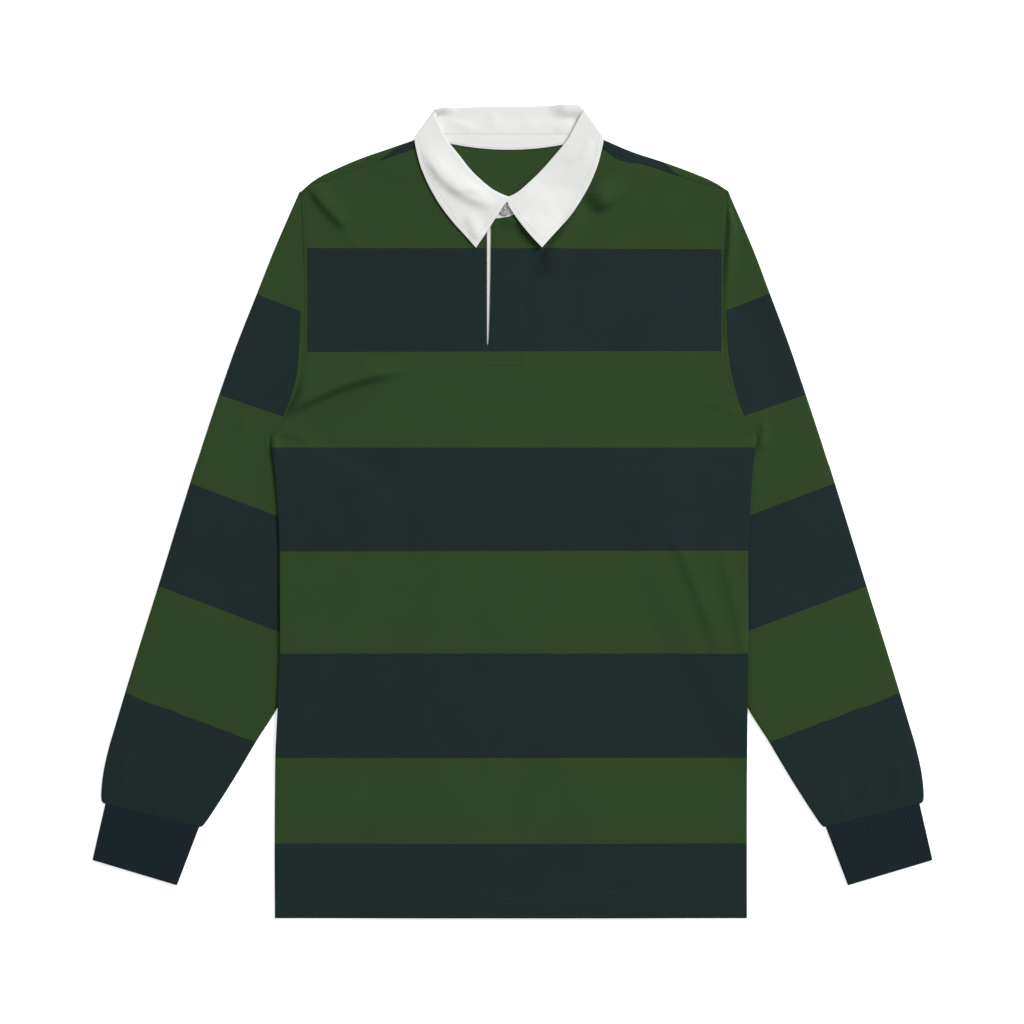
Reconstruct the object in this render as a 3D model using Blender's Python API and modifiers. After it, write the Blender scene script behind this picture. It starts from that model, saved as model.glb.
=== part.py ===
"""Long-sleeved striped polo shirt in heavy jersey, laid flat and face up on the XY plane.

Its front faces +Z and its collar points to +Y, so the wearer's left arm lies on +X. The origin
is at the middle of its outline, on the surface that it lies on. Left and right are the wearer's.
Sizes and tables are in millimetres, and MM turns them into Blender's metres.
"""

import math
from collections import namedtuple

import bmesh
import bpy

MM = 0.001

# Cloth
JERSEY = 1.2
RIB = 1.8
TWILL = 1.4
TAPE = 0.8
FACING = 0.8
GAP = 0.3
SET_IN = 0.2  # each side of a seam stops this far short of it

# Body
HEM_Y = -405.8
BODY_X = -1.5  # the body's middle line
SHOULDER_WRAP = 9.0  # how far the back comes over the shoulder to its seam
SLIT_X = -25.4  # the placket slit's right edge
SLIT_BOTTOM = 165.5
SLIT_FOOT_WIDTH = 0.6
SLIT_TOP_WIDTH = 4.8
SLIT_TOP = 293.0
NECK_SLOPE = 0.75  # of the right front's neck edge beside the slit
ARMHOLE_TURN = 272.0  # above this the front's rows run from the neck to the armhole
NECK_COLUMNS = 3
SHOULDER_COLUMNS = 5
FRONT_SEAM_PARTS = (0.0, 0.1, 0.2, 0.3, 0.4, 0.5, 0.6, 0.8, 1.0)
BACK_YOKE_ROWS = (0.25, 0.45, 0.58, 0.7, 0.866, 1.0)  # of the way from the armholes to the neck

# Layers, as heights of the middle of the cloth
BACK_Z = 0.6
LAYER = 1.5  # from one layer of jersey to the next
SLEEVE_UNDER_BODY = 3.3  # how far the body rides up over the sleeve that lies under it

# Neck tape and placket facing
TAPE_REACH = 62.0  # either side of the middle
TAPE_DEPTH = 13.5
TAPE_TAPER = 4.5
FACING_COLUMNS = (-38.0, -27.0, -16.0, 8.0)
FACING_PAST_SLIT = 7.5

# Collar
COLLAR_X = -3.5
COLLAR_STEPS = 2
LEAF_REST = JERSEY / 2 + TWILL / 2 + 0.7
FALL_Z = TWILL / 2

# Sleeves
FOLD_APART = 3.2  # between the two layers where the sleeve folds
SLEEVE_ACROSS = 4
FOLD_STEPS = 3
CUFF_APART = 2.1

# Button
BUTTON_RADIUS = 5.5
BUTTON_THICKNESS = 1.8
BUTTON_PLACE = (-7.5, 301.5)
BUTTON_CLEAR = 0.2  # the stand's cloth is flat in facets under it
BUTTON_HOLE_RADIUS = 0.7
BUTTON_HOLE_OUT = 1.9

GREEN = (0.030, 0.063, 0.019, 1.0)
NAVY = (0.014, 0.025, 0.027, 1.0)
WHITE = (0.79, 0.80, 0.77, 1.0)
PEARL = (0.70, 0.71, 0.70, 1.0)

SideRow = namedtuple("SideRow", "y right left")
SIDE_SEAM = (
    SideRow(HEM_Y, -237.4, 234.3),
    SideRow(-331.5, -237.7, 234.2),
    SideRow(-246.0, -236.9, 234.4),
    SideRow(-197.0, -234.6, 234.7),
    SideRow(-141.5, -232.4, 235.3),
    SideRow(-90.0, -232.2, 235.4),
    SideRow(-39.5, -232.4, 235.4),
    SideRow(0.0, -234.0, 237.4),
    SideRow(25.0, -235.7, 238.6),
    SideRow(47.5, -238.2, 240.2),
    SideRow(62.0, -240.3, 242.6),
)
ARMHOLE = (
    SideRow(75.5, -242.0, 245.0),
    SideRow(94.5, -229.0, 232.0),
    SideRow(131.5, -213.0, 216.6),
    SideRow(SLIT_BOTTOM, -209.0, 211.0),
    SideRow(211.5, -208.0, 210.0),
    SideRow(261.5, -208.8, 210.3),
    SideRow(311.0, -210.8, 213.0),
    SideRow(320.1, -211.4, 216.0),
)

LEVELS = SIDE_SEAM + ARMHOLE[:6]  # the rows that run straight across the body

# The shoulder's edge, from the neck to the armhole.
ShoulderRow = namedtuple("ShoulderRow", "part right_x right_y left_x left_y")
SHOULDER = (
    ShoulderRow(0.00, -95.5, 372.3, 88.5, 372.8),
    ShoulderRow(0.25, -124.5, 362.5, 120.0, 359.5),
    ShoulderRow(0.50, -153.4, 352.6, 152.0, 349.3),
    ShoulderRow(0.75, -182.4, 340.0, 184.0, 337.4),
    ShoulderRow(0.88, -197.4, 331.4, 200.6, 329.6),
    ShoulderRow(1.00, -211.4, 320.1, 216.0, 320.5),
)

# Where the body lies on the sleeve: out from the middle line as far as this and beyond.
LiftRow = namedtuple("LiftRow", "y out")
SLEEVE_REACH = (
    LiftRow(-320.0, 300.0),
    LiftRow(-200.0, 224.0),
    LiftRow(-140.0, 190.0),
    LiftRow(-90.0, 164.0),
    LiftRow(-44.0, 149.0),
    LiftRow(12.0, 148.0),
    LiftRow(36.0, 164.0),
    LiftRow(50.0, 188.0),
    LiftRow(62.0, 212.0),
    LiftRow(75.0, 234.0),
)

# The collar's sections from the front edge of a leaf to the middle of the back. out is the
# distance from the collar's middle line. turn is how far the fall has gone round from lying on
# top, 0, to lying underneath, 180. radius is half the height of the roll.
CollarRow = namedtuple("CollarRow", "roll_out roll_y edge_out edge_y seam_out seam_y turn radius")
COLLAR = (
    CollarRow(-1.8, 313.0, 33.0, 263.6, 4.0, 294.8, 0, 1.6),
    CollarRow(9.2, 317.6, 43.5, 275.6, 15.5, 296.6, 0, 1.6),
    CollarRow(20.2, 323.2, 56.3, 289.8, 30.5, 306.0, 0, 1.5),
    CollarRow(37.0, 338.2, 69.3, 307.2, 50.0, 321.0, 0, 1.5),
    CollarRow(49.7, 354.8, 80.5, 326.8, 65.5, 336.5, 0, 1.4),
    CollarRow(60.8, 368.6, 88.2, 345.2, 77.0, 351.0, 0, 1.35),
    CollarRow(66.6, 379.0, 92.6, 361.8, 84.0, 363.5, 8, 1.5),
    CollarRow(71.2, 389.5, 93.9, 369.9, 86.4, 371.8, 40, 2.0),
    CollarRow(73.9, 398.2, 92.9, 373.6, 88.0, 377.6, 90, 2.2),
    CollarRow(72.6, 401.2, 91.0, 373.2, 86.6, 377.0, 140, 1.8),
    CollarRow(64.5, 403.2, 81.5, 364.5, 77.5, 376.2, 172, 1.1),
    CollarRow(46.5, 403.8, 56.5, 360.5, 53.5, 376.2, 180, 1.1),
    CollarRow(23.5, 404.2, 28.5, 359.0, 26.5, 376.2, 180, 1.1),
    CollarRow(0.0, 404.4, 0.0, 358.5, 0.0, 376.2, 180, 1.1),
)
BACK_ROW = len(COLLAR) - 1
LAST_ROW = 2 * BACK_ROW
SHOULDER_ROW = 6  # the section that the forward shoulder seam runs into
HALF_TURN_ROW = 9
UNDER_RADII = (3.4, 3.2, 2.1)  # of the right leaf's first sections, which clear the button
UNDER_HEIGHTS = (2.2, 2.2, 3.0)  # of the stand's right end, which passes under its left end

# The stand's left end, which laps over its right end.
LapRow = namedtuple("LapRow", "top_x top_y seam_x seam_y")
STAND_LAP = (
    LapRow(-3.0, 308.8, -5.5, 294.3),
    LapRow(-10.0, 309.6, -13.5, 293.4),
    LapRow(-16.0, 311.5, -20.6, 292.8),
)

# The sleeve's sections, from its folded outer edge to its armhole or underarm seam. They are
# the right sleeve's, and the left one mirrors them across the middle of the shirt.
SleeveRow = namedtuple("SleeveRow", "outer_x outer_y inner_x inner_y")
LEFT_SHOULDER_OUT = 3.0  # the left sleeve starts this much further out
SLEEVE_BESIDE_BODY = (
    (214.9, 315.2),
    (237.6, 263.0),
    (255.4, 218.0),
    (274.8, 169.0),
    (288.0, 132.0),
    (299.6, 98.0),
    (306.0, 78.5),
    (308.0, 72.5),
)
SLEEVE_FREE = (
    SleeveRow(310.0, 66.5, 212.0, 41.0),
    SleeveRow(312.8, 57.5, 180.0, 25.0),
    SleeveRow(316.0, 48.0, 165.0, 4.0),
    SleeveRow(319.2, 38.5, 160.0, -18.0),
    SleeveRow(335.5, -14.0, 164.0, -60.0),
    SleeveRow(351.9, -67.5, 181.0, -96.0),
    SleeveRow(367.3, -116.5, 202.0, -136.0),
    SleeveRow(382.2, -164.5, 236.0, -197.5),
    SleeveRow(396.6, -212.5, 257.5, -228.5),
    SleeveRow(404.0, -238.0, 276.5, -260.0),
    SleeveRow(409.2, -262.5, 294.5, -289.5),
    SleeveRow(411.0, -286.0, 308.6, -312.0),
)
SLEEVE_END = SleeveRow(406.9, -291.4, 313.0, -314.6)
CUFF_TOP = SleeveRow(407.0, -292.2, 313.2, -315.4)
CUFF_BOTTOM = SleeveRow(419.8, -347.6, 335.2, -372.9)


# ---------------------------------------------------------------- small helpers


def ease(value):
    """0 below 0, 1 above 1, and a smooth rise between."""
    value = min(max(value, 0.0), 1.0)
    return value * value * (3 - 2 * value)


def mix(first, second, share):
    return first + (second - first) * share


def between(rows, key, value, column):
    """The column's value at this key, straight between the table's rows."""
    for low, high in zip(rows, rows[1:]):
        if value <= getattr(high, key):
            break
    span = getattr(high, key) - getattr(low, key)
    share = min(max((value - getattr(low, key)) / span, 0.0), 1.0)
    return mix(getattr(low, column), getattr(high, column), share)


# ---------------------------------------------------------------- how the layers lie


def over_sleeve(x, y):
    """The rise of the body where a sleeve lies under it."""
    reach = between(SLEEVE_REACH, "y", y, "out")
    return SLEEVE_UNDER_BODY * ease((75.5 - y) / 18) * ease(1 + (abs(x) - reach) / 42)


def over_fall(x, y):
    """The rise of the back where the collar's fall lies under it."""
    return 2.3 * ease((y - 318) / 32) * ease((165 - abs(x - COLLAR_X)) / 55)


def back_height(x, y):
    return BACK_Z + over_sleeve(x, y) + over_fall(x, y)


def front_height(x, y):
    """The middle of the front's cloth: it clears the tape and the placket, and is slack between."""
    to_tape = math.hypot(abs(x - COLLAR_X) - 58, y - 366)
    tape = 1.2 * ease((92 - to_tape) / 56)
    placket = 1.8 * ease((76 - abs(x + 14)) / 42) * ease((y - 112) / 36)
    slack = 2.2 * ease((200 - abs(x)) / 120) * ease((330 - y) / 120)
    shoulder = 0.5 * ease((y - 225) / 40)
    return back_height(x, y) + LAYER + max(tape, placket) + slack + shoulder


# ---------------------------------------------------------------- meshes


def material(name, colour, roughness):
    made = bpy.data.materials.new(name)
    made.use_nodes = True
    surface = made.node_tree.nodes["Principled BSDF"]
    surface.inputs["Base Color"].default_value = colour
    surface.inputs["Roughness"].default_value = roughness
    return made


def patch(mesh, rows):
    """Adds a grid whose points are moved to these rows of points."""
    grid = bmesh.ops.create_grid(mesh, x_segments=len(rows[0]) - 1, y_segments=len(rows) - 1, size=1)
    for vert, point in zip(grid["verts"], (point for row in rows for point in row)):
        vert.co = [MM * value for value in point]


def cloth(name, patches, thickness, finish, collection):
    """One piece of cloth: patches joined where they meet, given its thickness by Solidify."""
    mesh = bmesh.new()
    for rows in patches:
        patch(mesh, rows)
    bmesh.ops.remove_doubles(mesh, verts=mesh.verts, dist=0.01 * MM)
    bmesh.ops.recalc_face_normals(mesh, faces=mesh.faces)
    data = bpy.data.meshes.new(name)
    mesh.to_mesh(data)
    mesh.free()
    data.materials.append(finish)
    data.shade_smooth()
    piece = bpy.data.objects.new(name, data)
    collection.objects.link(piece)
    wall = piece.modifiers.new("thickness", "SOLIDIFY")
    wall.thickness = thickness * MM
    wall.offset = 0
    return piece


# ---------------------------------------------------------------- collar


def collar_rows():
    """The collar's sections all the way round, from the right leaf to the left, as x and y."""
    rows = []
    for index in range(LAST_ROW + 1):
        side = -1 if index <= BACK_ROW else 1
        row = COLLAR[min(index, LAST_ROW - index)]
        radius = UNDER_RADII[index] if index < len(UNDER_RADII) else row.radius
        rows.append(
            (
                COLLAR_X + side * row.roll_out,
                row.roll_y,
                COLLAR_X + side * row.edge_out,
                row.edge_y,
                COLLAR_X + side * row.seam_out,
                row.seam_y,
                row.turn,
                radius,
            )
        )
    return rows


CollarSection = namedtuple("CollarSection", "place roll edge seam turn radius stand_z")


def collar_section(place):
    """The section this many rows round the collar, on a smooth curve through the table's rows."""
    rows = collar_rows()
    index = min(int(place), LAST_ROW - 1)
    share = place - index
    before, first, second, after = (
        rows[min(max(index + step, 0), LAST_ROW)] for step in (-1, 0, 1, 2)
    )
    values = []
    for p, a, b, q in zip(before, first, second, after):
        curve = 2 * a + (b - p) * share + (2 * p - 5 * a + 4 * b - q) * share**2
        values.append((curve + (3 * a - p - 3 * b + q) * share**3) / 2)
    turn = math.radians(mix(first[6], second[6], share))
    seam = values[4:6]
    stand_z = mix(front_height(*seam), back_height(*seam), (1 - math.cos(turn)) / 2)
    if place < len(UNDER_HEIGHTS):
        low = UNDER_HEIGHTS[index]
        high = UNDER_HEIGHTS[index + 1] if index + 1 < len(UNDER_HEIGHTS) else stand_z
        stand_z = mix(low, high, share)
    return CollarSection(place, values[0:2], values[2:4], seam, turn, values[7], stand_z)


def across(section, target):
    """The unit direction from the roll to the target, the way out from the neck, and the length."""
    along = [b - a for a, b in zip(section.roll, target)]
    length = math.hypot(*along)
    along = [value / length for value in along]
    side = -1 if section.place <= BACK_ROW else 1
    out = (-side * along[1], side * along[0])
    return along, out, length


def collar_point(section, target, forward, up):
    """A point of the section: forward from the roll to the target, up through the layers."""
    along, out, _ = across(section, target)
    aside = up * math.sin(section.turn)
    roll_z = section.stand_z + section.radius * math.cos(section.turn)
    return [
        section.roll[0] + forward * along[0] + aside * out[0],
        section.roll[1] + forward * along[1] + aside * out[1],
        roll_z + up * math.cos(section.turn),
    ]


def fall_row(section):
    """The fall: round the roll, then down on the front or under the back to its outer edge."""
    row = []
    start = -90 + math.degrees((1.0 + 1.2 * math.sin(section.turn)) / section.radius)
    for step in range(4):
        angle = math.radians(mix(start, 90, step / 4))
        row.append(
            collar_point(
                section, section.edge, -section.radius * math.cos(angle), section.radius * math.sin(angle)
            )
        )
    width = across(section, section.edge)[2]
    flatness = math.cos(section.turn) ** 2
    for step in range(6):
        share = step / 5
        point = collar_point(section, section.edge, share * width, section.radius)
        rest = front_height(point[0], point[1]) + LEAF_REST if section.turn < 1.5 else FALL_Z
        point[2] = mix(point[2], rest, flatness * ease((share - 0.3) / 0.45))
        row.append(point)
    return row


def stand_row(section):
    """The stand: from just inside the roll to the neck seam."""
    height = across(section, section.seam)[2]
    top = 0.6 + 1.6 * math.sin(section.turn)  # further from the roll where it turns sharply
    return [
        collar_point(section, section.seam, mix(top, height, step / 3), -section.radius)
        for step in range(4)
    ]


def collar_places():
    return [step / COLLAR_STEPS for step in range(LAST_ROW * COLLAR_STEPS + 1)]


def make_collar_fall(finish, collection):
    rows = [fall_row(collar_section(place)) for place in collar_places()]
    cloth("collar_fall", [rows], TWILL, finish, collection)


def make_collar_stand(finish, collection):
    rows = [stand_row(collar_section(place)) for place in collar_places()]
    for lap in STAND_LAP:
        height = front_height(lap.seam_x, lap.seam_y)
        rows.append(
            [
                (mix(lap.top_x, lap.seam_x, step / 3), mix(lap.top_y, lap.seam_y, step / 3), height)
                for step in range(4)
            ]
        )
    cloth("collar_stand", [rows], TWILL, finish, collection)


def seam_point(place, away=GAP):
    """A point of the body's neck edge: just past the stand's lower edge."""
    section = collar_section(place)
    along, _, _ = across(section, section.seam)
    return [section.seam[0] + away * along[0], section.seam[1] + away * along[1]]


# ---------------------------------------------------------------- body


def shoulder_edge(side, part):
    """A point of the shoulder's edge and the unit direction out from it, along the armhole at its end."""
    name = column(side)
    before, edge, after = (
        [between(SHOULDER, "part", value, name + axis) for axis in ("_x", "_y")]
        for value in (max(part - 0.12, 0), part, min(part + 0.12, 1))
    )
    run = (after[0] - before[0], after[1] - before[1])
    length = math.hypot(*run)
    seam_y = edge[1] - SHOULDER_WRAP
    seam_x = between(ARMHOLE, "y", seam_y, name) - 2 * side * SET_IN
    to_end = ease((part - 0.7) / 0.3)
    out = (
        mix(-side * run[1] / length, (edge[0] - seam_x) / SHOULDER_WRAP, to_end),
        mix(side * run[0] / length, 1.0, to_end),
    )
    length = math.hypot(*out)
    return edge, (out[0] / length, out[1] / length)


def off_shoulder(side, part, inset):
    edge, out = shoulder_edge(side, part)
    return [edge[0] - inset * out[0], edge[1] - inset * out[1]]


def shoulder_fold(side, part):
    """Half the distance between back and front at the shoulder's edge."""
    edge, _ = shoulder_edge(side, part)
    return (front_height(*edge) - back_height(*edge)) / 2


def column(side):
    return "right" if side < 0 else "left"


def parts_of(count):
    return [step / count for step in range(count + 1)]


def front_half(side):
    """Rows of the front from its placket line out to one side, from the hem to the shoulder."""
    rows = []
    shares = body_shares(side)
    for level in LEVELS:
        open_share = max(level.y - SLIT_BOTTOM, 0) / (SLIT_TOP - SLIT_BOTTOM)
        if side < 0 and open_share > 0:
            inner_x = SLIT_X
        else:
            inner_x = SLIT_X + mix(SLIT_FOOT_WIDTH, SLIT_TOP_WIDTH, open_share)
        outer_x = getattr(level, column(side)) - side * SET_IN
        xs = [mix(BODY_X, outer_x, share) for share in shares[1:]]
        rows.append([(x, level.y) for x in [inner_x] + xs])
    neck = front_neck(side)
    for index, inner in enumerate(neck):
        rise = index / (len(neck) - 1)
        outer_y = mix(ARMHOLE_TURN, ARMHOLE[6].y, rise)
        outer = (between(ARMHOLE, "y", outer_y, column(side)) - side * SET_IN, outer_y)
        rows.append(bent_row(side, inner, outer, rise))
    return [[(x, y, front_height(x, y)) for x, y in row] for row in rows]


def front_neck(side):
    """The front's neck edge from the placket slit to the shoulder seam."""
    steps = [SHOULDER_ROW - step / COLLAR_STEPS for step in range(SHOULDER_ROW * COLLAR_STEPS + 1)]
    if side > 0:
        points = [seam_point(LAST_ROW - place) for place in steps]
        points += [(lap.seam_x, lap.seam_y - GAP) for lap in STAND_LAP]
    else:
        points = [seam_point(place) for place in steps if seam_point(place)[0] < SLIT_X - 3]
        points.append((SLIT_X, points[-1][1] - (SLIT_X - points[-1][0]) * NECK_SLOPE))
    return points[::-1]


def front_seam(side, part):
    """A point of the front's shoulder seam, on the straight runs between the wrap's columns."""
    place = min(int(part * SHOULDER_COLUMNS + 1e-6), SHOULDER_COLUMNS - 1)
    ends = [
        off_shoulder(side, (place + step) / SHOULDER_COLUMNS, SHOULDER_WRAP + GAP) for step in (0, 1)
    ]
    return [mix(a, b, part * SHOULDER_COLUMNS - place) for a, b in zip(*ends)]


def bent_row(side, inner, outer, rise):
    """A row from the neck to the armhole, which takes on the shoulder seam's bend as it rises."""
    row = []
    for part, lower in zip(FRONT_SEAM_PARTS, body_shares(side)):
        share = mix(lower, part, rise)
        seam = front_seam(side, part)
        bent = rise**2 if part > 0 else 0
        row.append([mix(mix(inner[axis], outer[axis], share), seam[axis], bent) for axis in (0, 1)])
    return row


def make_front(finish, collection):
    cloth("front_panel", [front_half(-1), front_half(1)], JERSEY, finish, collection)


def back_top(side):
    """The back's top edge from the middle of the neck to the armhole, as x and y."""
    row_of = (lambda place: place) if side < 0 else (lambda place: LAST_ROW - place)
    neck = [
        seam_point(row_of(mix(BACK_ROW, HALF_TURN_ROW, share)), GAP) for share in parts_of(NECK_COLUMNS)
    ]
    neck[0][0] = BODY_X
    shoulder = [
        off_shoulder(side, part, shoulder_fold(side, part) + JERSEY / 2)
        for part in parts_of(SHOULDER_COLUMNS)
    ]
    return neck[:-1] + shoulder


def body_shares(side):
    """Where the body's columns stand, as shares of the way from its middle to its side."""
    top = back_top(side)
    return [(x - BODY_X) / (top[-1][0] - BODY_X) for x, _ in top]


def back_half(side):
    """Rows of the back from its middle out to one side, from the hem to the shoulder's edge."""
    top = back_top(side)
    shares = body_shares(side)
    rows = []
    for level in LEVELS:
        outer_x = getattr(level, column(side)) - side * SET_IN
        rows.append([(mix(BODY_X, outer_x, share), level.y) for share in shares])
    last_y = LEVELS[-1].y
    for rise in BACK_YOKE_ROWS:
        outer_y = mix(last_y, top[-1][1], rise)
        outer_x = between(ARMHOLE, "y", outer_y, column(side)) - side * SET_IN
        row = []
        for share, (top_x, top_y) in zip(shares, top):
            x = mix(BODY_X, outer_x, share) if rise < 1 else top_x
            row.append((x, mix(last_y, top_y, rise)))
        rows.append(row)
    return [[(x, y, back_height(x, y)) for x, y in row] for row in rows]


def shoulder_wrap(side):
    """The back's strip over the shoulder's edge, down to the forward shoulder seam."""
    rows = []
    for part in parts_of(SHOULDER_COLUMNS):
        edge, out = shoulder_edge(side, part)
        fold = shoulder_fold(side, part)
        low = back_height(*off_shoulder(side, part, fold + JERSEY / 2))
        middle = off_shoulder(side, part, fold + JERSEY / 2)
        row = []
        for step in range(4):
            angle = math.radians(60 * step)
            reach = fold * math.sin(angle)
            height = low + fold * (1 - math.cos(angle))
            row.append((middle[0] + reach * out[0], middle[1] + reach * out[1], height))
        seam = off_shoulder(side, part, SHOULDER_WRAP)
        row.append((seam[0], seam[1], front_height(*seam)))
        rows.append(row)
    return rows


def make_back(finish, collection):
    patches = [half(side) for side in (-1, 1) for half in (back_half, shoulder_wrap)]
    cloth("back_panel", patches, JERSEY, finish, collection)


def make_neck_tape(finish, collection):
    """The tape over the back neck seam, a little deeper in the middle."""
    rows = []
    top = COLLAR[-1].seam_y
    for share in parts_of(12):
        x = COLLAR_X + mix(-TAPE_REACH, TAPE_REACH, share)
        depth = TAPE_DEPTH - TAPE_TAPER * (2 * share - 1) ** 2
        rows.append([(x, y, on_back(x, y, TAPE)) for y in (top, top - depth / 2, top - depth)])
    cloth("neck_tape", [rows], TAPE, finish, collection)


def on_back(x, y, thickness):
    """The middle of a cloth of this thickness that lies on the back."""
    return back_height(x, y) + JERSEY / 2 + GAP + thickness / 2


def make_placket_facing(finish, collection):
    """The white under-placket, which shows as a line in the slit."""
    rows = []
    for share in parts_of(6):
        y = mix(SLIT_BOTTOM - FACING_PAST_SLIT, SLIT_TOP - 2, share)
        rows.append([(x, y, on_back(x, y, FACING)) for x in FACING_COLUMNS])
    cloth("placket_facing", [rows], FACING, finish, collection)


# ---------------------------------------------------------------- sleeves


def sleeve_table(side):
    """The sleeve's sections in this side's own places, from the shoulder to the wrist."""
    levels = ARMHOLE[6::-1] + SIDE_SEAM[9:10]  # down the armhole, then to where it goes under
    rows = []
    for (outer_x, outer_y), level in zip(SLEEVE_BESIDE_BODY, levels):
        outer_x += LEFT_SHOULDER_OUT * ease((outer_y - 96) / 200) * (side > 0)
        rows.append(SleeveRow(outer_x, outer_y, abs(getattr(level, column(side))), level.y))
    return rows + list(SLEEVE_FREE) + [SLEEVE_END]


def tube_row(side, row, apart_outside, apart_inside, cloth_thickness, closed):
    """A section of a flattened tube: over its top, round its outer fold and back underneath."""
    outer = (side * row.outer_x, row.outer_y)
    inner = (side * row.inner_x, row.inner_y)
    length = math.dist(outer, inner)
    way = ((inner[0] - outer[0]) / length, (inner[1] - outer[1]) / length)
    radius = apart_outside / 2
    low = cloth_thickness / 2
    start = radius + low
    end = length - (apart_inside / 2 + low if closed else SET_IN)

    def at(distance, height):
        return (outer[0] + distance * way[0], outer[1] + distance * way[1], height)

    def apart(share):
        return mix(apart_outside, apart_inside, ease(share / 0.4))

    shares = parts_of(SLEEVE_ACROSS)
    points = [at(mix(start, end, share), low + apart(share)) for share in reversed(shares)]
    for step in range(1, FOLD_STEPS + 1):
        angle = math.radians(90 + 180 * step / (FOLD_STEPS + 1))
        points.append(at(start + radius * math.cos(angle), low + radius + radius * math.sin(angle)))
    points += [at(mix(start, end, share), low) for share in shares]
    if closed:
        half = apart_inside / 2
        for step in range(1, FOLD_STEPS + 1):
            angle = math.radians(-90 + 180 * step / (FOLD_STEPS + 1))
            points.append(at(end + half * math.cos(angle), low + half + half * math.sin(angle)))
        points.append(points[0])
    return points


def make_sleeve(side, finish, collection):
    rows = []
    table = sleeve_table(side)
    for index, row in enumerate(table):
        widest = mix(LAYER, FOLD_APART, ease(index / 3))
        rows.append(tube_row(side, row, widest, LAYER, JERSEY, closed=False))
    cloth("sleeve_" + column(side), [rows], JERSEY, finish, collection)


def make_cuff(side, finish, collection):
    rows = []
    for share in parts_of(3):
        row = SleeveRow(*(mix(a, b, share) for a, b in zip(CUFF_TOP, CUFF_BOTTOM)))
        rows.append(tube_row(side, row, CUFF_APART, CUFF_APART, RIB, closed=True))
    cloth("cuff_" + column(side), [rows], RIB, finish, collection)


# ---------------------------------------------------------------- button


def make_button(finish, collection):
    """A four-hole button on the lapped end of the stand."""
    x, y = BUTTON_PLACE
    height = front_height(x, y) + TWILL / 2 + GAP + BUTTON_CLEAR
    bpy.ops.mesh.primitive_cylinder_add(
        vertices=24,
        radius=BUTTON_RADIUS * MM,
        depth=BUTTON_THICKNESS * MM,
        location=(x * MM, y * MM, (height + BUTTON_THICKNESS / 2) * MM),
    )
    button = bpy.context.object
    button.name = "button_neck"
    holes = bmesh.new()
    for turn in (45, 135, 225, 315):
        made = bmesh.ops.create_cone(
            holes,
            cap_ends=True,
            segments=8,
            radius1=BUTTON_HOLE_RADIUS * MM,
            radius2=BUTTON_HOLE_RADIUS * MM,
            depth=3 * BUTTON_THICKNESS * MM,
        )
        way = math.radians(turn)
        offset = [BUTTON_HOLE_OUT * MM * math.cos(way), BUTTON_HOLE_OUT * MM * math.sin(way), 0]
        bmesh.ops.translate(holes, verts=made["verts"], vec=offset)
    data = bpy.data.meshes.new("button_holes")
    holes.to_mesh(data)
    holes.free()
    cutter = bpy.data.objects.new("button_holes", data)
    cutter.location = button.location
    cutter.hide_render = True
    cutter.display_type = "WIRE"
    cutters = bpy.data.collections.new("cutters")
    bpy.context.scene.collection.children.link(cutters)
    cutters.objects.link(cutter)
    cut = button.modifiers.new("holes", "BOOLEAN")
    cut.operation = "DIFFERENCE"
    cut.object = cutter
    button.data.materials.append(finish)
    for home in list(button.users_collection):
        home.objects.unlink(button)
    collection.objects.link(button)


def main():
    for thing in list(bpy.data.objects):
        bpy.data.objects.remove(thing)
    collection = bpy.data.collections.new("polo_shirt")
    bpy.context.scene.collection.children.link(collection)
    green = material("green_jersey", GREEN, 0.9)
    navy = material("navy_jersey", NAVY, 0.9)
    rib = material("navy_rib", NAVY, 0.9)
    white = material("white_twill", WHITE, 0.85)
    pearl = material("pearl_button", PEARL, 0.3)
    make_back(green, collection)
    make_front(green, collection)
    for side in (-1, 1):
        make_sleeve(side, navy, collection)
        make_cuff(side, rib, collection)
    make_collar_fall(white, collection)
    make_collar_stand(white, collection)
    make_neck_tape(white, collection)
    make_placket_facing(white, collection)
    make_button(pearl, collection)


main()
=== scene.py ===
"""The looks of a long-sleeved striped polo shirt in heavy jersey, laid flat and face up.

It follows the shirt as it is sewn: back, front, placket, sleeves, cuffs, collar and button.
Sizes are in millimetres, and MM turns them into metres. Left and right are the wearer's, so the
right side is at -X.
"""

import math
from collections import namedtuple

import bpy
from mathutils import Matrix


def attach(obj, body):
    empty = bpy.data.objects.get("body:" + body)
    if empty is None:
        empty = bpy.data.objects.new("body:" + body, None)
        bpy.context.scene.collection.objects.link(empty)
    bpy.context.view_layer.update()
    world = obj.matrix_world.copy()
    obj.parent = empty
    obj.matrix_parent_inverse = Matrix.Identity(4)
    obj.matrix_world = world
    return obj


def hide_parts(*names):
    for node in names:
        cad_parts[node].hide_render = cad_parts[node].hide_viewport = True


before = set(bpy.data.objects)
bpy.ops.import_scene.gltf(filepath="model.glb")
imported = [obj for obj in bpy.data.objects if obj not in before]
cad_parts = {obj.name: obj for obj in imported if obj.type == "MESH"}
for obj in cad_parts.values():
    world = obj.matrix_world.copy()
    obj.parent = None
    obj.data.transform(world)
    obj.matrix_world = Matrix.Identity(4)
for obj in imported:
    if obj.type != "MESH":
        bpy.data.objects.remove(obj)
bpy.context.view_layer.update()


# ---------------------------------------------------------------- the floor and its light
# A wide white studio floor under a wide soft lamp and an even white surround, seen from straight
# above. The lens takes in a little over a metre of it, so the whole shirt is inside the view.
# This section's own places and sizes are in metres.

MM = 0.001
FLOOR_WIDTH = 40.0
CAMERA_PLACE = (-0.0005, 0.0, 3.0)
VIEW_WIDTH = 1.024
SENSOR = 36.0  # the camera's, in millimetres as its lens is
LAMP_PLACE = (3.9, 3.3, 4.8)
LAMP_WIDTH = 4.0


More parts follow.
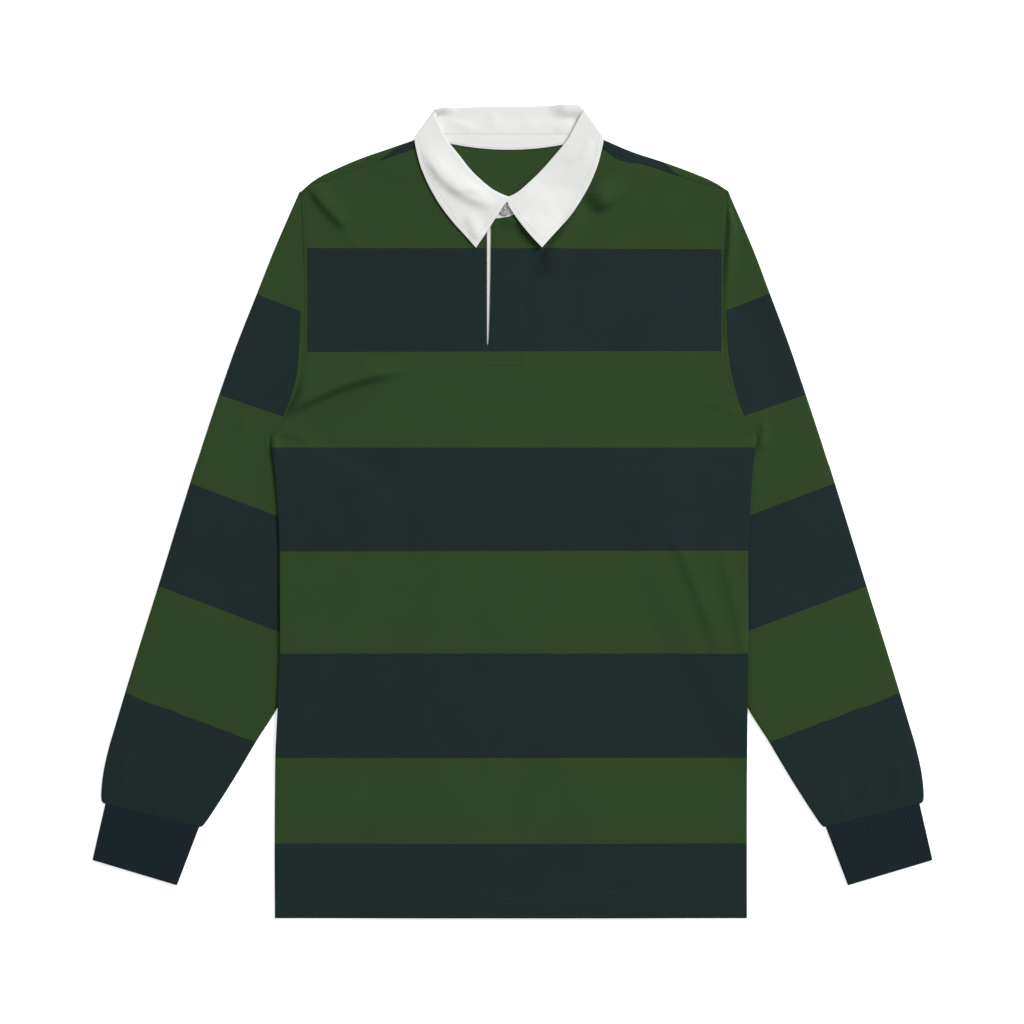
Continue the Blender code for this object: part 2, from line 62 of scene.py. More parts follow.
def linear(hex_colour):
    """An sRGB hex colour as the linear red, green, blue and alpha that Blender's sockets take."""
    values = [int(hex_colour[place : place + 2], 16) / 255 for place in (1, 3, 5)]
    return [v / 12.92 if v <= 0.04045 else ((v + 0.055) / 1.055) ** 2.4 for v in values] + [1.0]


def feed(material, node, inputs):
    """Sets a node's inputs: to values, or to other nodes or their outputs by links."""
    for socket, value in inputs.items():
        if isinstance(value, bpy.types.Node):
            value = value.outputs[0]
        if isinstance(value, bpy.types.NodeSocket):
            material.node_tree.links.new(value, node.inputs[socket])
        else:
            node.inputs[socket].default_value = value


def add_node(material, kind, inputs, **settings):
    """Adds a node with its settings and its inputs."""
    made = material.node_tree.nodes.new("ShaderNode" + kind)
    for name, value in settings.items():
        setattr(made, name, value)
    feed(material, made, inputs)
    return made


def new_finish(name):
    """An empty material with its Principled shader."""
    made = bpy.data.materials.new(name)
    made.use_nodes = True
    return made, made.node_tree.nodes["Principled BSDF"]


def floor_finish():
    """Matt white acrylic over lamps, as in a light table: an even white field with no grain."""
    made, shader = new_finish("matt_white_floor")
    white = linear("#FFFFFF")
    feed(made, shader, {"Base Color": white, "Emission Color": white, "Emission Strength": 0.55})
    feed(made, shader, {"Roughness": 1.0, "Specular IOR Level": 0.0})
    return made


bpy.ops.object.select_all(action="DESELECT")
bpy.ops.mesh.primitive_plane_add(size=FLOOR_WIDTH)
floor = bpy.context.object
floor.name = "floor"
floor.data.materials.append(floor_finish())

bpy.ops.object.camera_add(location=CAMERA_PLACE, rotation=(0, 0, 0))
camera = bpy.context.object
camera.data.sensor_width = SENSOR
camera.data.lens = SENSOR * CAMERA_PLACE[2] / VIEW_WIDTH
bpy.context.scene.camera = camera

bpy.ops.object.light_add(type="AREA", location=LAMP_PLACE)
key_lamp = bpy.context.object
key_lamp.data.shape = "DISK"
key_lamp.data.size = LAMP_WIDTH
key_lamp.data.energy = 440.0
key_lamp.rotation_euler = key_lamp.location.to_track_quat("Z", "Y").to_euler()

surround = bpy.data.worlds.new("white_surround")
surround.use_nodes = True
even_white = surround.node_tree.nodes["Background"]
even_white.inputs["Color"].default_value = linear("#FFFFFF")
even_white.inputs["Strength"].default_value = 0.42
bpy.context.scene.world = surround
bpy.context.scene.view_settings.view_transform = "Standard"


# ---------------------------------------------------------------- back panel
# The back is one piece of heavy cotton jersey, knitted in green and navy bands. It is cut with
# forward shoulders: at each shoulder it wraps over the edge to a seam on the front.

JERSEY = 1.2
GAP = 0.3
SET_IN = 0.02  # each side of a seam stops this far short of it
BACK_Z = 0.6
LAYER = 1.5  # from one layer of jersey to the next
SLEEVE_UNDER_BODY = 3.3
SLEEVE_RAMP = 42.0  # the body comes down off a sleeve under it over this distance
UNDERARM_RAMP = 18.0  # and up onto it below the underarm over this
BODY_X = -1.5
HEM_Y = -405.8
UNDERARM_Y = 75.5
YOKE_Y = 261.5
SHOULDER_WRAP = 9.0
COLLAR_X = -3.5
CELL = 4.2  # the cloth's mesh
NECK_CELLS = 22
SHOULDER_CELLS = 32
WRAP_CELLS = 8
WRAP_SHARES = (0.0, 0.35, 0.68, 0.86, 1.0)
SEAM_DITCH = 0.7  # how far a seam's edges dip
WELD = 0.02  # points of a cloth's grids that are this near to each other become one
EDGE_ROUND = 0.2  # of the cloth's thickness, by which its cut edges are rounded

SideRow = namedtuple("SideRow", "y right left")
SIDE_SEAM = (
    SideRow(HEM_Y, -237.4, 234.3),
    SideRow(-331.5, -237.7, 234.2),
    SideRow(-246.0, -236.9, 234.4),
    SideRow(-197.0, -234.6, 234.7),
    SideRow(-141.5, -232.4, 235.3),
    SideRow(-90.0, -232.2, 235.4),
    SideRow(-39.5, -232.4, 235.4),
    SideRow(0.0, -234.0, 237.4),
    SideRow(25.0, -235.7, 238.6),
    SideRow(47.5, -238.2, 240.2),
    SideRow(62.0, -240.3, 242.6),
    SideRow(UNDERARM_Y, -242.0, 245.0),
)
ARMHOLE = (
    SideRow(UNDERARM_Y, -242.0, 245.0),
    SideRow(94.5, -229.0, 232.0),
    SideRow(131.5, -213.0, 216.6),
    SideRow(165.5, -209.0, 211.0),
    SideRow(211.5, -208.0, 210.0),
    SideRow(YOKE_Y, -208.8, 210.3),
    SideRow(311.0, -210.8, 213.0),
    SideRow(320.1, -211.4, 216.0),
)

# The shoulder's edge, from the neck to the armhole.
ShoulderRow = namedtuple("ShoulderRow", "part right_x right_y left_x left_y")
SHOULDER = (
    ShoulderRow(0.00, -95.5, 372.3, 88.5, 372.8),
    ShoulderRow(0.25, -124.5, 362.5, 120.0, 359.5),
    ShoulderRow(0.50, -153.4, 352.6, 152.0, 349.3),
    ShoulderRow(0.75, -182.4, 340.0, 184.0, 337.4),
    ShoulderRow(0.88, -197.4, 331.4, 200.6, 329.6),
    ShoulderRow(1.00, -211.4, 320.1, 215.0, 321.1),
)

# Where the body lies on the sleeve: out from the middle line as far as this and beyond.
LiftRow = namedtuple("LiftRow", "y out")
SLEEVE_REACH = (
    LiftRow(-320.0, 300.0),
    LiftRow(-200.0, 224.0),
    LiftRow(-140.0, 190.0),
    LiftRow(-90.0, 164.0),
    LiftRow(-44.0, 149.0),
    LiftRow(12.0, 148.0),
    LiftRow(36.0, 164.0),
    LiftRow(50.0, 188.0),
    LiftRow(62.0, 212.0),
    LiftRow(75.0, 234.0),
)

# The colour changes from the neck down to the hem, at the right side and the left. The topmost
# is at its own height along the shoulders, with navy above it, then green and navy in turn.
StripeRow = namedtuple("StripeRow", "right left")
STRIPES = (
    StripeRow(263.2, 262.4),
    StripeRow(159.3, 160.2),
    StripeRow(64.0, 64.0),
    StripeRow(-39.8, -39.2),
    StripeRow(-141.7, -141.7),
    StripeRow(-246.0, -246.0),
    StripeRow(-331.5, -331.5),
)
TopStripeRow = namedtuple("TopStripeRow", "x y")
TOP_STRIPE = (
    TopStripeRow(-140.0, 366.0),
    TopStripeRow(-60.0, 368.0),
    TopStripeRow(62.0, 368.0),
    TopStripeRow(80.0, 366.0),
    TopStripeRow(91.0, 360.6),
    TopStripeRow(103.5, 351.8),
    TopStripeRow(118.0, 348.0),
    TopStripeRow(136.0, 347.4),
    TopStripeRow(150.0, 350.0),
)
GREEN = "#2D4423"
NAVY = "#1C292A"
STRIPE_HALF_WIDTH = 235.0
OUTER_STRIPE = 100.0  # the depth that the topmost and the lowest band count as
FELLED_X = {-1: 205.0, 1: 208.8}  # past this the body shows the armhole seam's green edge
FELLED_FROM = 20.0  # from this far above the underarm up
FELLED_SCALE = 10.0  # millimetres for each 1 of a point's felled value
FAR_FROM_SEAM = 9.0
SHOULDER_STEP = 0.08  # of the shoulder's length, in which its direction is taken
SHOULDER_END = 0.3  # of its length, in which it turns to run along the armhole

# How what lies under a panel lifts it: by this height, this far either way from a middle line,
# upwards from y. The ramps are the distances over which it rises, and a negative one runs down.
Rise = namedtuple("Rise", "height middle reach ramp y y_ramp")
OVER_FALL = Rise(2.3, COLLAR_X, 165.0, 55.0, 318.0, 32.0)
OVER_PLACKET = Rise(1.8, -14.0, 76.0, 42.0, 112.0, 36.0)
OVER_YOKE = Rise(0.5, 0.0, 400.0, 1.0, 225.0, 40.0)
SLACK = Rise(2.2, 0.0, 200.0, 120.0, 330.0, -120.0)
OVER_TAPE = 1.2  # the front's rise over the neck tape's ends
TAPE_END = (58.0, 366.0)  # out from the collar's middle line, and up
OVER_TAPE_REACH = 92.0
OVER_TAPE_RAMP = 56.0

# Creases, each from one end to the other: bend is how far its middle bows to the left of its
# run, rise its height, and left and right how wide its two slopes are. The right slope of a
# domed one ends at its foot, where it is steepest. Both ends fade out over a share of its run.
CREASE_END = 0.3
CREASE_REACH = 3.0  # slope widths, past which a crease is flat
Crease = namedtuple("Crease", "x y to_x to_y bend rise left right domed", defaults=(False,))
BACK_CREASES = (
    Crease(-150, -300, -60, -120, 14, 0.7, 10, 13),
    Crease(-40, -330, 10, -190, -9, 0.6, 10, 10),
    Crease(40, -250, 135, -60, 18, 0.8, 10, 15),
    Crease(-120, -40, -30, 60, 12, 0.7, 11, 11),
    Crease(20, 40, 110, 120, -10, 0.6, 11, 12),
    Crease(-90, 150, 60, 175, 9, 0.7, 14, 14),
    Crease(90, -350, 150, -280, 6, 0.6, 9, 9),
)

# A point of cloth: its place, where it lies across and along the knit, which stripe it is in,
# and where it is from a seam's felled edge: that edge shows below 1.
Point = namedtuple("Point", "x y z across along stripe felled", defaults=(0.0, FAR_FROM_SEAM))


def ease(value):
    """0 below 0, 1 above 1, and a smooth rise between."""
    value = min(max(value, 0.0), 1.0)
    return value * value * (3 - 2 * value)


def mix(first, second, share):
    return first + (second - first) * share


def parts_of(count):
    return [step / count for step in range(count + 1)]


def smooth_curve(rows, key, column):
    """A function that gives the column's value at any key, on a smooth curve through the rows."""
    keys = [getattr(row, key) for row in rows]
    values = [getattr(row, column) for row in rows]
    last = len(rows) - 1

    def slope(point):
        low, high = max(point - 1, 0), min(point + 1, last)
        return (values[high] - values[low]) / (keys[high] - keys[low])

    def at(place):
        place = min(max(place, keys[0]), keys[-1])
        index = 0
        while index < last - 1 and place > keys[index + 1]:
            index += 1
        span = keys[index + 1] - keys[index]
        share = (place - keys[index]) / span
        start, end = slope(index) * span, slope(index + 1) * span
        rise = values[index + 1] - values[index]
        return (
            values[index]
            + start * share
            + (3 * rise - 2 * start - end) * share**2
            + (start + end - 2 * rise) * share**3
        )

    return at


def side_name(side):
    return "right" if side < 0 else "left"


side_seam = {side: smooth_curve(SIDE_SEAM, "y", side_name(side)) for side in (-1, 1)}
armhole = {side: smooth_curve(ARMHOLE, "y", side_name(side)) for side in (-1, 1)}
sleeve_reach = smooth_curve(SLEEVE_REACH, "y", "out")
top_stripe = smooth_curve(TOP_STRIPE, "x", "y")
shoulder = {
    side: [smooth_curve(SHOULDER, "part", side_name(side) + axis) for axis in ("_x", "_y")]
    for side in (-1, 1)
}


def body_edge(side, y):
    """The body's side seam up to the underarm, and its armhole above."""
    return side_seam[side](y) if y <= UNDERARM_Y else armhole[side](y)


def creased(x, y, creases):
    """How far the creases lift the cloth here."""
    lift = 0.0
    for fold in creases:
        run_x, run_y = fold.to_x - fold.x, fold.to_y - fold.y
        length = math.hypot(run_x, run_y)
        share = ((x - fold.x) * run_x + (y - fold.y) * run_y) / length**2
        if not 0 < share < 1:
            continue
        aside = ((y - fold.y) * run_x - (x - fold.x) * run_y) / length
        aside -= fold.bend * 4 * share * (1 - share)
        out = (aside / fold.left if aside > 0 else aside / fold.right) ** 2
        if out < CREASE_REACH**2:
            ends = ease(share / CREASE_END) * ease((1 - share) / CREASE_END)
            slope = max(1 - out, 0) if fold.domed and aside < 0 else math.exp(-out)
            lift += fold.rise * ends * slope
    return lift


def over_sleeve(x, y):
    """How far a sleeve under it lifts the body here."""
    below_underarm = ease((UNDERARM_Y - y) / UNDERARM_RAMP)
    return SLEEVE_UNDER_BODY * below_underarm * ease(1 + (abs(x) - sleeve_reach(y)) / SLEEVE_RAMP)


def risen(rise, x, y):
    """How far the rise lifts a panel here."""
    across = ease((rise.reach - abs(x - rise.middle)) / rise.ramp)
    return rise.height * ease((y - rise.y) / rise.y_ramp) * across


def back_height(x, y):
    """The middle of the back's cloth, as far as the layers under it set it."""
    return BACK_Z + over_sleeve(x, y) + risen(OVER_FALL, x, y)


def front_height(x, y):
    """The middle of the front's cloth: it clears the tape and the placket, and is slack between."""
    to_tape = math.hypot(abs(x - COLLAR_X) - TAPE_END[0], y - TAPE_END[1])
    tape = OVER_TAPE * ease((OVER_TAPE_REACH - to_tape) / OVER_TAPE_RAMP)
    cleared = max(tape, risen(OVER_PLACKET, x, y)) + risen(SLACK, x, y) + risen(OVER_YOKE, x, y)
    return back_height(x, y) + LAYER + cleared


def stripe_at(x, y):
    """The number of colour changes above this place, with the way to the next as a fraction."""
    share = ease(0.5 + x / STRIPE_HALF_WIDTH / 2)
    levels = [top_stripe(x)] + [mix(row.right, row.left, share) for row in STRIPES]
    if y >= levels[0]:
        return 1 - (y - levels[0]) / OUTER_STRIPE
    for index, (high, low) in enumerate(zip(levels, levels[1:])):
        if y >= low:
            return index + 1 + (high - y) / (high - low)
    return len(levels) + (levels[-1] - y) / OUTER_STRIPE


def body_point(side, x, y, z):
    """A point of a body panel, with its stripe, and the felled edge beside its armhole."""
    felled = FAR_FROM_SEAM
    if y > UNDERARM_Y + FELLED_FROM:
        felled = 1 + (FELLED_X[side] - abs(x)) / FELLED_SCALE
    return Point(x, y, z, x, y, stripe_at(x, y), felled)


def shoulder_edge(side, part):
    """A point of the shoulder's edge and the unit direction out from it.

    The direction turns to run along the armhole at the shoulder's end.
    """
    before, edge, after = (
        [axis(value) for axis in shoulder[side]]
        for value in (max(part - SHOULDER_STEP, 0), part, min(part + SHOULDER_STEP, 1))
    )
    run = (after[0] - before[0], after[1] - before[1])
    length = math.hypot(*run)
    seam_x = armhole[side](edge[1] - SHOULDER_WRAP) - 2 * side * SET_IN
    to_end = ease((part - 1 + SHOULDER_END) / SHOULDER_END)
    out = (
        mix(-side * run[1] / length, (edge[0] - seam_x) / SHOULDER_WRAP, to_end),
        mix(side * run[0] / length, 1.0, to_end),
    )
    length = math.hypot(*out)
    return edge, (out[0] / length, out[1] / length)


def off_shoulder(side, part, inset):
    edge, out = shoulder_edge(side, part)
    return [edge[0] - inset * out[0], edge[1] - inset * out[1]]


def shoulder_fold(side, part):
    """Half the distance between back and front at the shoulder's edge."""
    edge, _ = shoulder_edge(side, part)
    return (front_height(*edge) - back_height(*edge)) / 2


# The collar's sections from the front edge of a leaf to the middle of the back, which set the
# neck's edge. out is the distance from the collar's middle line. turn is how far the fall has
# gone round from lying on top, 0, to lying underneath, 180. radius is half the roll's height.
CollarRow = namedtuple("CollarRow", "roll_out roll_y edge_out edge_y seam_out seam_y turn radius")
COLLAR = (
    CollarRow(-1.8, 313.0, 33.0, 263.6, 4.0, 296.2, 0, 1.6),
    CollarRow(9.2, 317.3, 43.5, 275.6, 15.5, 297.4, 0, 1.6),
    CollarRow(20.2, 324.0, 56.3, 289.8, 30.5, 306.0, 0, 1.5),
    CollarRow(37.0, 339.1, 69.3, 307.2, 50.0, 321.0, 0, 1.1),
    CollarRow(49.7, 354.8, 80.5, 326.8, 65.5, 336.5, 0, 0.9),
    CollarRow(60.8, 368.6, 88.2, 345.2, 77.0, 351.0, 0, 0.8),
    CollarRow(66.6, 379.0, 92.6, 361.8, 84.0, 363.5, 3, 0.8),
    CollarRow(71.2, 389.5, 93.9, 369.9, 86.4, 371.8, 10, 0.8),
    CollarRow(73.9, 398.2, 92.9, 373.6, 88.0, 377.6, 30, 1.0),
    CollarRow(72.6, 401.2, 91.0, 373.2, 86.6, 377.0, 150, 1.0),
    CollarRow(64.5, 403.2, 81.5, 364.5, 77.5, 376.2, 172, 1.1),
    CollarRow(46.5, 403.8, 56.5, 360.5, 53.5, 376.2, 180, 1.1),
    CollarRow(23.5, 404.2, 28.5, 359.0, 26.5, 376.2, 180, 1.1),
    CollarRow(0.0, 404.4, 0.0, 358.5, 0.0, 376.2, 180, 1.1),
)
BACK_ROW = len(COLLAR) - 1
LAST_ROW = 2 * BACK_ROW
SHOULDER_ROW = 6  # the section that the forward shoulder seam runs into
HALF_TURN_ROW = 9
# How the left half differs, section by section from the front edge. Its roll runs nearer the
# middle by roll_in, which makes the leaf's inner edge straighter. Then out moves the section out,
# and up moves its roll up the body.
LeftRow = namedtuple("LeftRow", "roll_in out up", defaults=(0.0, 0.0))
LEFT_COLLAR = (
    LeftRow(0.6),
    LeftRow(2.2),
    LeftRow(4.6),
    LeftRow(5.6),
    LeftRow(4.2),
    LeftRow(3.8),
    LeftRow(3.4),
    LeftRow(2.2, 0.2, 1.0),
    LeftRow(0.4, 0.4, 2.2),
    LeftRow(0.0, 0.4, 2.8),
    LeftRow(0.0, 0.2, 2.6),
    LeftRow(0.0, 0.0, 1.7),
    LeftRow(0.0, 0.0, 0.6),
)
# Where each corner of the roll stands up, by how much, and where the stand below it runs down.
Corner = namedtuple("Corner", "row reach rise start end")
CORNERS = {-1: Corner(9.5, 1.4, 5.2, 0.0, 0.3), 1: Corner(9.9, 1.5, 4.0, 0.14, 0.48)}
CORNER_RAMP = 0.9  # rows over which a corner rises
UNDER_RADII = (3.4, 3.2, 2.1)  # of the right leaf's first sections, which clear the button
UNDER_HEIGHTS = (2.2, 2.2, 3.0)  # of the stand's right end, which passes under its left end

PlacedRow = namedtuple("PlacedRow", "roll_x roll_y edge_x edge_y seam_x seam_y turn radius")
CollarSection = namedtuple("CollarSection", "place roll edge seam turn radius stand_z")


def corner_lift(place):
    """How far the roll stands up here: only round its two corners."""
    corner = CORNERS[-1 if place <= BACK_ROW else 1]
    from_corner = abs(min(place, LAST_ROW - place) - corner.row)
    return corner.rise * ease((corner.reach - from_corner) / CORNER_RAMP)


def collar_rows():
    """The collar's sections all the way round, from the right leaf to the left, as x and y."""
    rows = []
    for index in range(LAST_ROW + 1):
        side = -1 if index <= BACK_ROW else 1
        from_front = min(index, LAST_ROW - index)
        row = COLLAR[from_front]
        left = LEFT_COLLAR[from_front] if side > 0 else LeftRow(0.0)
        radius = UNDER_RADII[index] if index < len(UNDER_RADII) else row.radius
        roll_x = COLLAR_X + side * (row.roll_out + left.out - left.roll_in)
        edge_x = COLLAR_X + side * (row.edge_out + left.out)
        seam_x = COLLAR_X + side * row.seam_out
        places = (roll_x, row.roll_y + left.up, edge_x, row.edge_y, seam_x, row.seam_y)
        rows.append(PlacedRow(*places, row.turn, radius))
    return rows


def collar_section(place):
    """The section this many rows round the collar, on a smooth curve through the table's rows."""
    rows = collar_rows()
    index = min(int(place), LAST_ROW - 1)
    share = place - index
    before, first, second, after = (
        rows[min(max(index + step, 0), LAST_ROW)] for step in (-1, 0, 1, 2)
    )
    values = []
    for p, a, b, q in zip(before, first, second, after):
        curve = 2 * a + (b - p) * share + (2 * p - 5 * a + 4 * b - q) * share**2
        values.append((curve + (3 * a - p - 3 * b + q) * share**3) / 2)
    here = PlacedRow(*values)
    turn = math.radians(mix(first.turn, second.turn, share))
    seam = (here.seam_x, here.seam_y)
    stand_z = mix(front_height(*seam), back_height(*seam), (1 - math.cos(turn)) / 2)
    if place < len(UNDER_HEIGHTS):
        low = UNDER_HEIGHTS[index]
        high = UNDER_HEIGHTS[index + 1] if index + 1 < len(UNDER_HEIGHTS) else stand_z
        stand_z = mix(low, high, share)
    stand_z += corner_lift(place)
    roll, edge = (here.roll_x, here.roll_y), (here.edge_x, here.edge_y)
    return CollarSection(place, roll, edge, seam, turn, here.radius, stand_z)


def across(section, target):
    """The unit direction from the roll to the target, the way out from the neck, and the length."""
    along = [b - a for a, b in zip(section.roll, target)]
    length = math.hypot(*along)
    along = [value / length for value in along]
    side = -1 if section.place <= BACK_ROW else 1
    return along, (-side * along[1], side * along[0]), length


def seam_point(place):
    """A point of the body's neck edge: just past the stand's lower edge."""
    section = collar_section(place)
    along, _, _ = across(section, section.seam)
    return [section.seam[0] + GAP * along[0], section.seam[1] + GAP * along[1]]


def steps_between(start, end, cell):
    return max(2, round(abs(end - start) / cell))


def body_levels(bottom, top, cell):
    """Heights of the rows that run straight across the body, a cell or so apart."""
    levels = []
    for low, high in ((bottom, UNDERARM_Y), (UNDERARM_Y, top)):
        levels += [mix(low, high, share) for share in parts_of(steps_between(low, high, cell))]
    return sorted(set(levels))


def back_top(side):
    """The back's top edge from the middle of the neck to the armhole."""
    row_of = (lambda place: place) if side < 0 else (lambda place: LAST_ROW - place)
    neck = [seam_point(row_of(mix(BACK_ROW, HALF_TURN_ROW, s))) for s in parts_of(NECK_CELLS)]
    neck[0][0] = BODY_X
    shoulder_line = [
        off_shoulder(side, part, shoulder_fold(side, part) + JERSEY / 2)
        for part in parts_of(SHOULDER_CELLS)
    ]
    return neck[:-1] + shoulder_line


def back_half(side):
    """The back from its middle out to one side, from the hem to the shoulder's edge."""
    top = back_top(side)
    shares = [(x - BODY_X) / (top[-1][0] - BODY_X) for x, _ in top]
    places = []
    for y in body_levels(HEM_Y, YOKE_Y, CELL):
        outer_x = body_edge(side, y) - side * SET_IN
        places.append([(mix(BODY_X, outer_x, share), y) for share in shares])
    rises = parts_of(steps_between(YOKE_Y, top[0][1], CELL))[1:]
    for rise in rises:
        outer_x = armhole[side](mix(YOKE_Y, top[-1][1], rise)) - side * SET_IN
        places.append(
            [
                (mix(BODY_X, outer_x, share) if rise < 1 else top_x, mix(YOKE_Y, top_y, rise))
                for share, (top_x, top_y) in zip(shares, top)
            ]
        )
    return [
        [body_point(side, x, y, back_height(x, y) + creased(x, y, BACK_CREASES)) for x, y in row]
        for row in places
    ]


def shoulder_wrap(side):
    """The back's strip over the shoulder's edge, down to the forward shoulder seam."""
    rows = []
    for part in parts_of(SHOULDER_CELLS):
        edge, out = shoulder_edge(side, part)
        fold = shoulder_fold(side, part)
        middle = off_shoulder(side, part, fold + JERSEY / 2)
        low = back_height(*middle)
        seam = off_shoulder(side, part, SHOULDER_WRAP)
        points = []
        for step in range(WRAP_CELLS):
            angle = math.pi * step / WRAP_CELLS
            reach = fold * math.sin(angle)
            height = low + fold * (1 - math.cos(angle))
            points.append((middle[0] + reach * out[0], middle[1] + reach * out[1], height))
        for share in WRAP_SHARES:
            flat = [mix(a, b, share) for a, b in zip(middle, seam)]
            ditch = SEAM_DITCH if share == 1 else 0
            points.append((flat[0], flat[1], front_height(*flat) - ditch))
        row = []
        for x, y, z in points:
            inset = math.dist((x, y), edge) * (1 if z > low + fold else 0)
            opened = (edge[0] + inset * out[0], edge[1] + inset * out[1])
            row.append(Point(x, y, z, opened[0], opened[1], stripe_at(*opened)))
        rows.append(row)
    return rows


def grid_of(rows):
    """A grid whose points are moved to these rows of points."""
    bpy.ops.mesh.primitive_grid_add(
        x_subdivisions=len(rows[0]) - 1, y_subdivisions=len(rows) - 1, size=1
    )
    grid = bpy.context.object
    points = [point for row in rows for point in row]
    mesh = grid.data
    mesh.vertices.foreach_set("co", [MM * value for point in points for value in point[:3]])
    corners = [points[loop.vertex_index] for loop in mesh.loops]
    mesh.uv_layers.active.name = "knit"
    mesh.uv_layers.active.data.foreach_set(
        "uv", [MM * value for point in corners for value in (point.across, point.along)]
    )
    for name in ("stripe", "felled"):
        values = mesh.attributes.new(name, "FLOAT", "POINT")
        values.data.foreach_set("value", [getattr(point, name) for point in points])
    return grid


def select(*pieces):
    """Selects only these, with the first one active."""
    bpy.ops.object.select_all(action="DESELECT")
    for piece in pieces:
        piece.select_set(True)
    bpy.context.view_layer.objects.active = pieces[0]


def joined(pieces):
    """These pieces as one object."""
    select(*pieces)
    if len(pieces) > 1:
        bpy.ops.object.join()
    return bpy.context.object


def apply_modifier(piece, kind, **settings):
    select(piece)
    made = piece.modifiers.new(kind.lower(), kind)
    for name, value in settings.items():
        setattr(made, name, value)
    bpy.ops.object.modifier_apply(modifier=made.name)


def cloth(name, patches, thickness, finish):
    """A piece of cloth: grids joined where they meet, made thick, with their cut edges rounded."""
    piece = joined([grid_of(rows) for rows in patches])
    piece.name = name
    bpy.ops.object.mode_set(mode="EDIT")
    bpy.ops.mesh.select_all(action="SELECT")
    bpy.ops.mesh.remove_doubles(threshold=WELD * MM)
    bpy.ops.mesh.normals_make_consistent(inside=False)
    bpy.ops.object.mode_set(mode="OBJECT")
    apply_modifier(piece, "SOLIDIFY", thickness=thickness * MM, offset=0)
    apply_modifier(
        piece,
        "BEVEL",
        width=EDGE_ROUND * thickness * MM,
        segments=2,
        limit_method="ANGLE",
        angle_limit=math.radians(60),
    )
    bpy.ops.object.shade_smooth()
    piece.data.materials.clear()
    piece.data.materials.append(finish)
    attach(piece, "root")
    return piece


def wave(material, coordinate, pitch):
    """A wave along the coordinate, one crest in each pitch."""
    turns = {0: coordinate, 1: 2 * math.pi / pitch}
    angle = add_node(material, "Math", turns, operation="MULTIPLY")
    return add_node(material, "Math", {0: angle}, operation="SINE")


def shaded(material, colour, shade, low, high, lowest=0.0):
    """The colour times low to high, as the shade goes from its lowest to 1."""
    span = {"Value": shade, "From Min": lowest, "To Min": low, "To Max": high}
    scale = add_node(material, "MapRange", span)
    return add_node(material, "VectorMath", {0: colour, "Scale": scale}, operation="SCALE")


def striped_jersey():
    """Heavy cotton jersey, yarn-dyed in bands and washed: matt and dense, with fine upright wales.

    The wales of such cloth are 1.3 mm apart, and they are drawn 2 mm apart, so that they show.
    """
    wale, course = 2.0 * MM, 2.6 * MM
    made, shader = new_finish("striped_cotton_jersey")
    knit = add_node(made, "UVMap", {}, uv_map="knit")
    stripe, felled = (
        add_node(made, "Attribute", {}, attribute_name=name).outputs["Fac"]
        for name in ("stripe", "felled")
    )
    loops = add_node(made, "TexNoise", {"Vector": knit, "Scale": 0.35 / MM, "Detail": 1.0})
    uneven = add_node(made, "Math", {0: loops, 1: 0.008, 2: stripe}, operation="MULTIPLY_ADD")
    band = add_node(made, "Math", {0: uneven}, operation="FLOOR")
    odd = add_node(made, "Math", {0: band, 1: 2.0}, operation="MODULO")
    edge = add_node(made, "Math", {0: felled, 1: 1.0}, operation="LESS_THAN")
    green = add_node(made, "Math", {0: odd, 1: edge}, operation="MAXIMUM")
    bands = {"Factor": green, 6: linear(NAVY), 7: linear(GREEN)}
    colour = add_node(made, "Mix", bands, data_type="RGBA").outputs[2]
    washed = add_node(made, "TexNoise", {"Vector": knit, "Scale": 0.02 / MM, "Detail": 3.0})
    place = add_node(made, "SeparateXYZ", {0: knit})
    wales = wave(made, place.outputs["X"], 2 * wale)
    wales = add_node(made, "Math", {0: wales}, operation="ABSOLUTE")
    courses = wave(made, place.outputs["Y"], course)
    loops = add_node(made, "Math", {0: courses, 1: 0.25, 2: wales}, operation="MULTIPLY_ADD")
    bump = add_node(made, "Bump", {"Height": loops, "Strength": 0.35, "Distance": 0.2 * MM})
    tone_and_rib_shade = shaded(made, colour, washed, 0.93, 1.07)
    feed(made, shader, {"Base Color": tone_and_rib_shade, "Normal": bump, "Roughness": 0.92})
    feed(made, shader, {"Specular IOR Level": 0.1, "Sheen Weight": 0.02, "Sheen Roughness": 0.6})
    return made


jersey = striped_jersey()

halves = [half(side) for side in (-1, 1) for half in (back_half, shoulder_wrap)]
back_panel = cloth("jersey_back", halves, JERSEY, jersey)
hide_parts("back_panel")


# ---------------------------------------------------------------- front panel
# One piece of the same jersey, slit down the middle for the placket. The slit's edges are turned
# in and topstitched, and a stitched box closes the slit's foot.

SLIT_X = -25.4  # the placket slit's right edge
SLIT_BOTTOM = 165.5
SLIT_FOOT_WIDTH = 0.6
SLIT_TOP_WIDTH = 4.3
SLIT_TOP = 293.0
SLIT_CURVE = 0.4  # the power by which it widens, fastest at its foot
CLEAR_OF_SLIT = 2.0
NECK_SLOPE = 0.75  # of the right front's neck edge beside the slit
FRONT_CELL = 3.2
FRONT_COLUMNS = 74
NECK_CELL = 3.6
NECK_LENGTH = 100.0  # of one side, along which those cells are counted
DITCH_START = 0.7  # of the last cell before a seam, where its edge begins to dip
ARMHOLE_FADE = 7.0  # the front's creases fade out over this beside its armholes
SIDE_FADE = 3.5  # and over this beside its side seams

# The stand's left end, which laps over its right end.
LapRow = namedtuple("LapRow", "top_x top_y seam_x seam_y")
STAND_LAP = (
    LapRow(-3.0, 308.8, -5.5, 294.3),
    LapRow(-10.0, 309.6, -13.5, 293.4),
    LapRow(-16.0, 311.5, -20.6, 292.8),
)

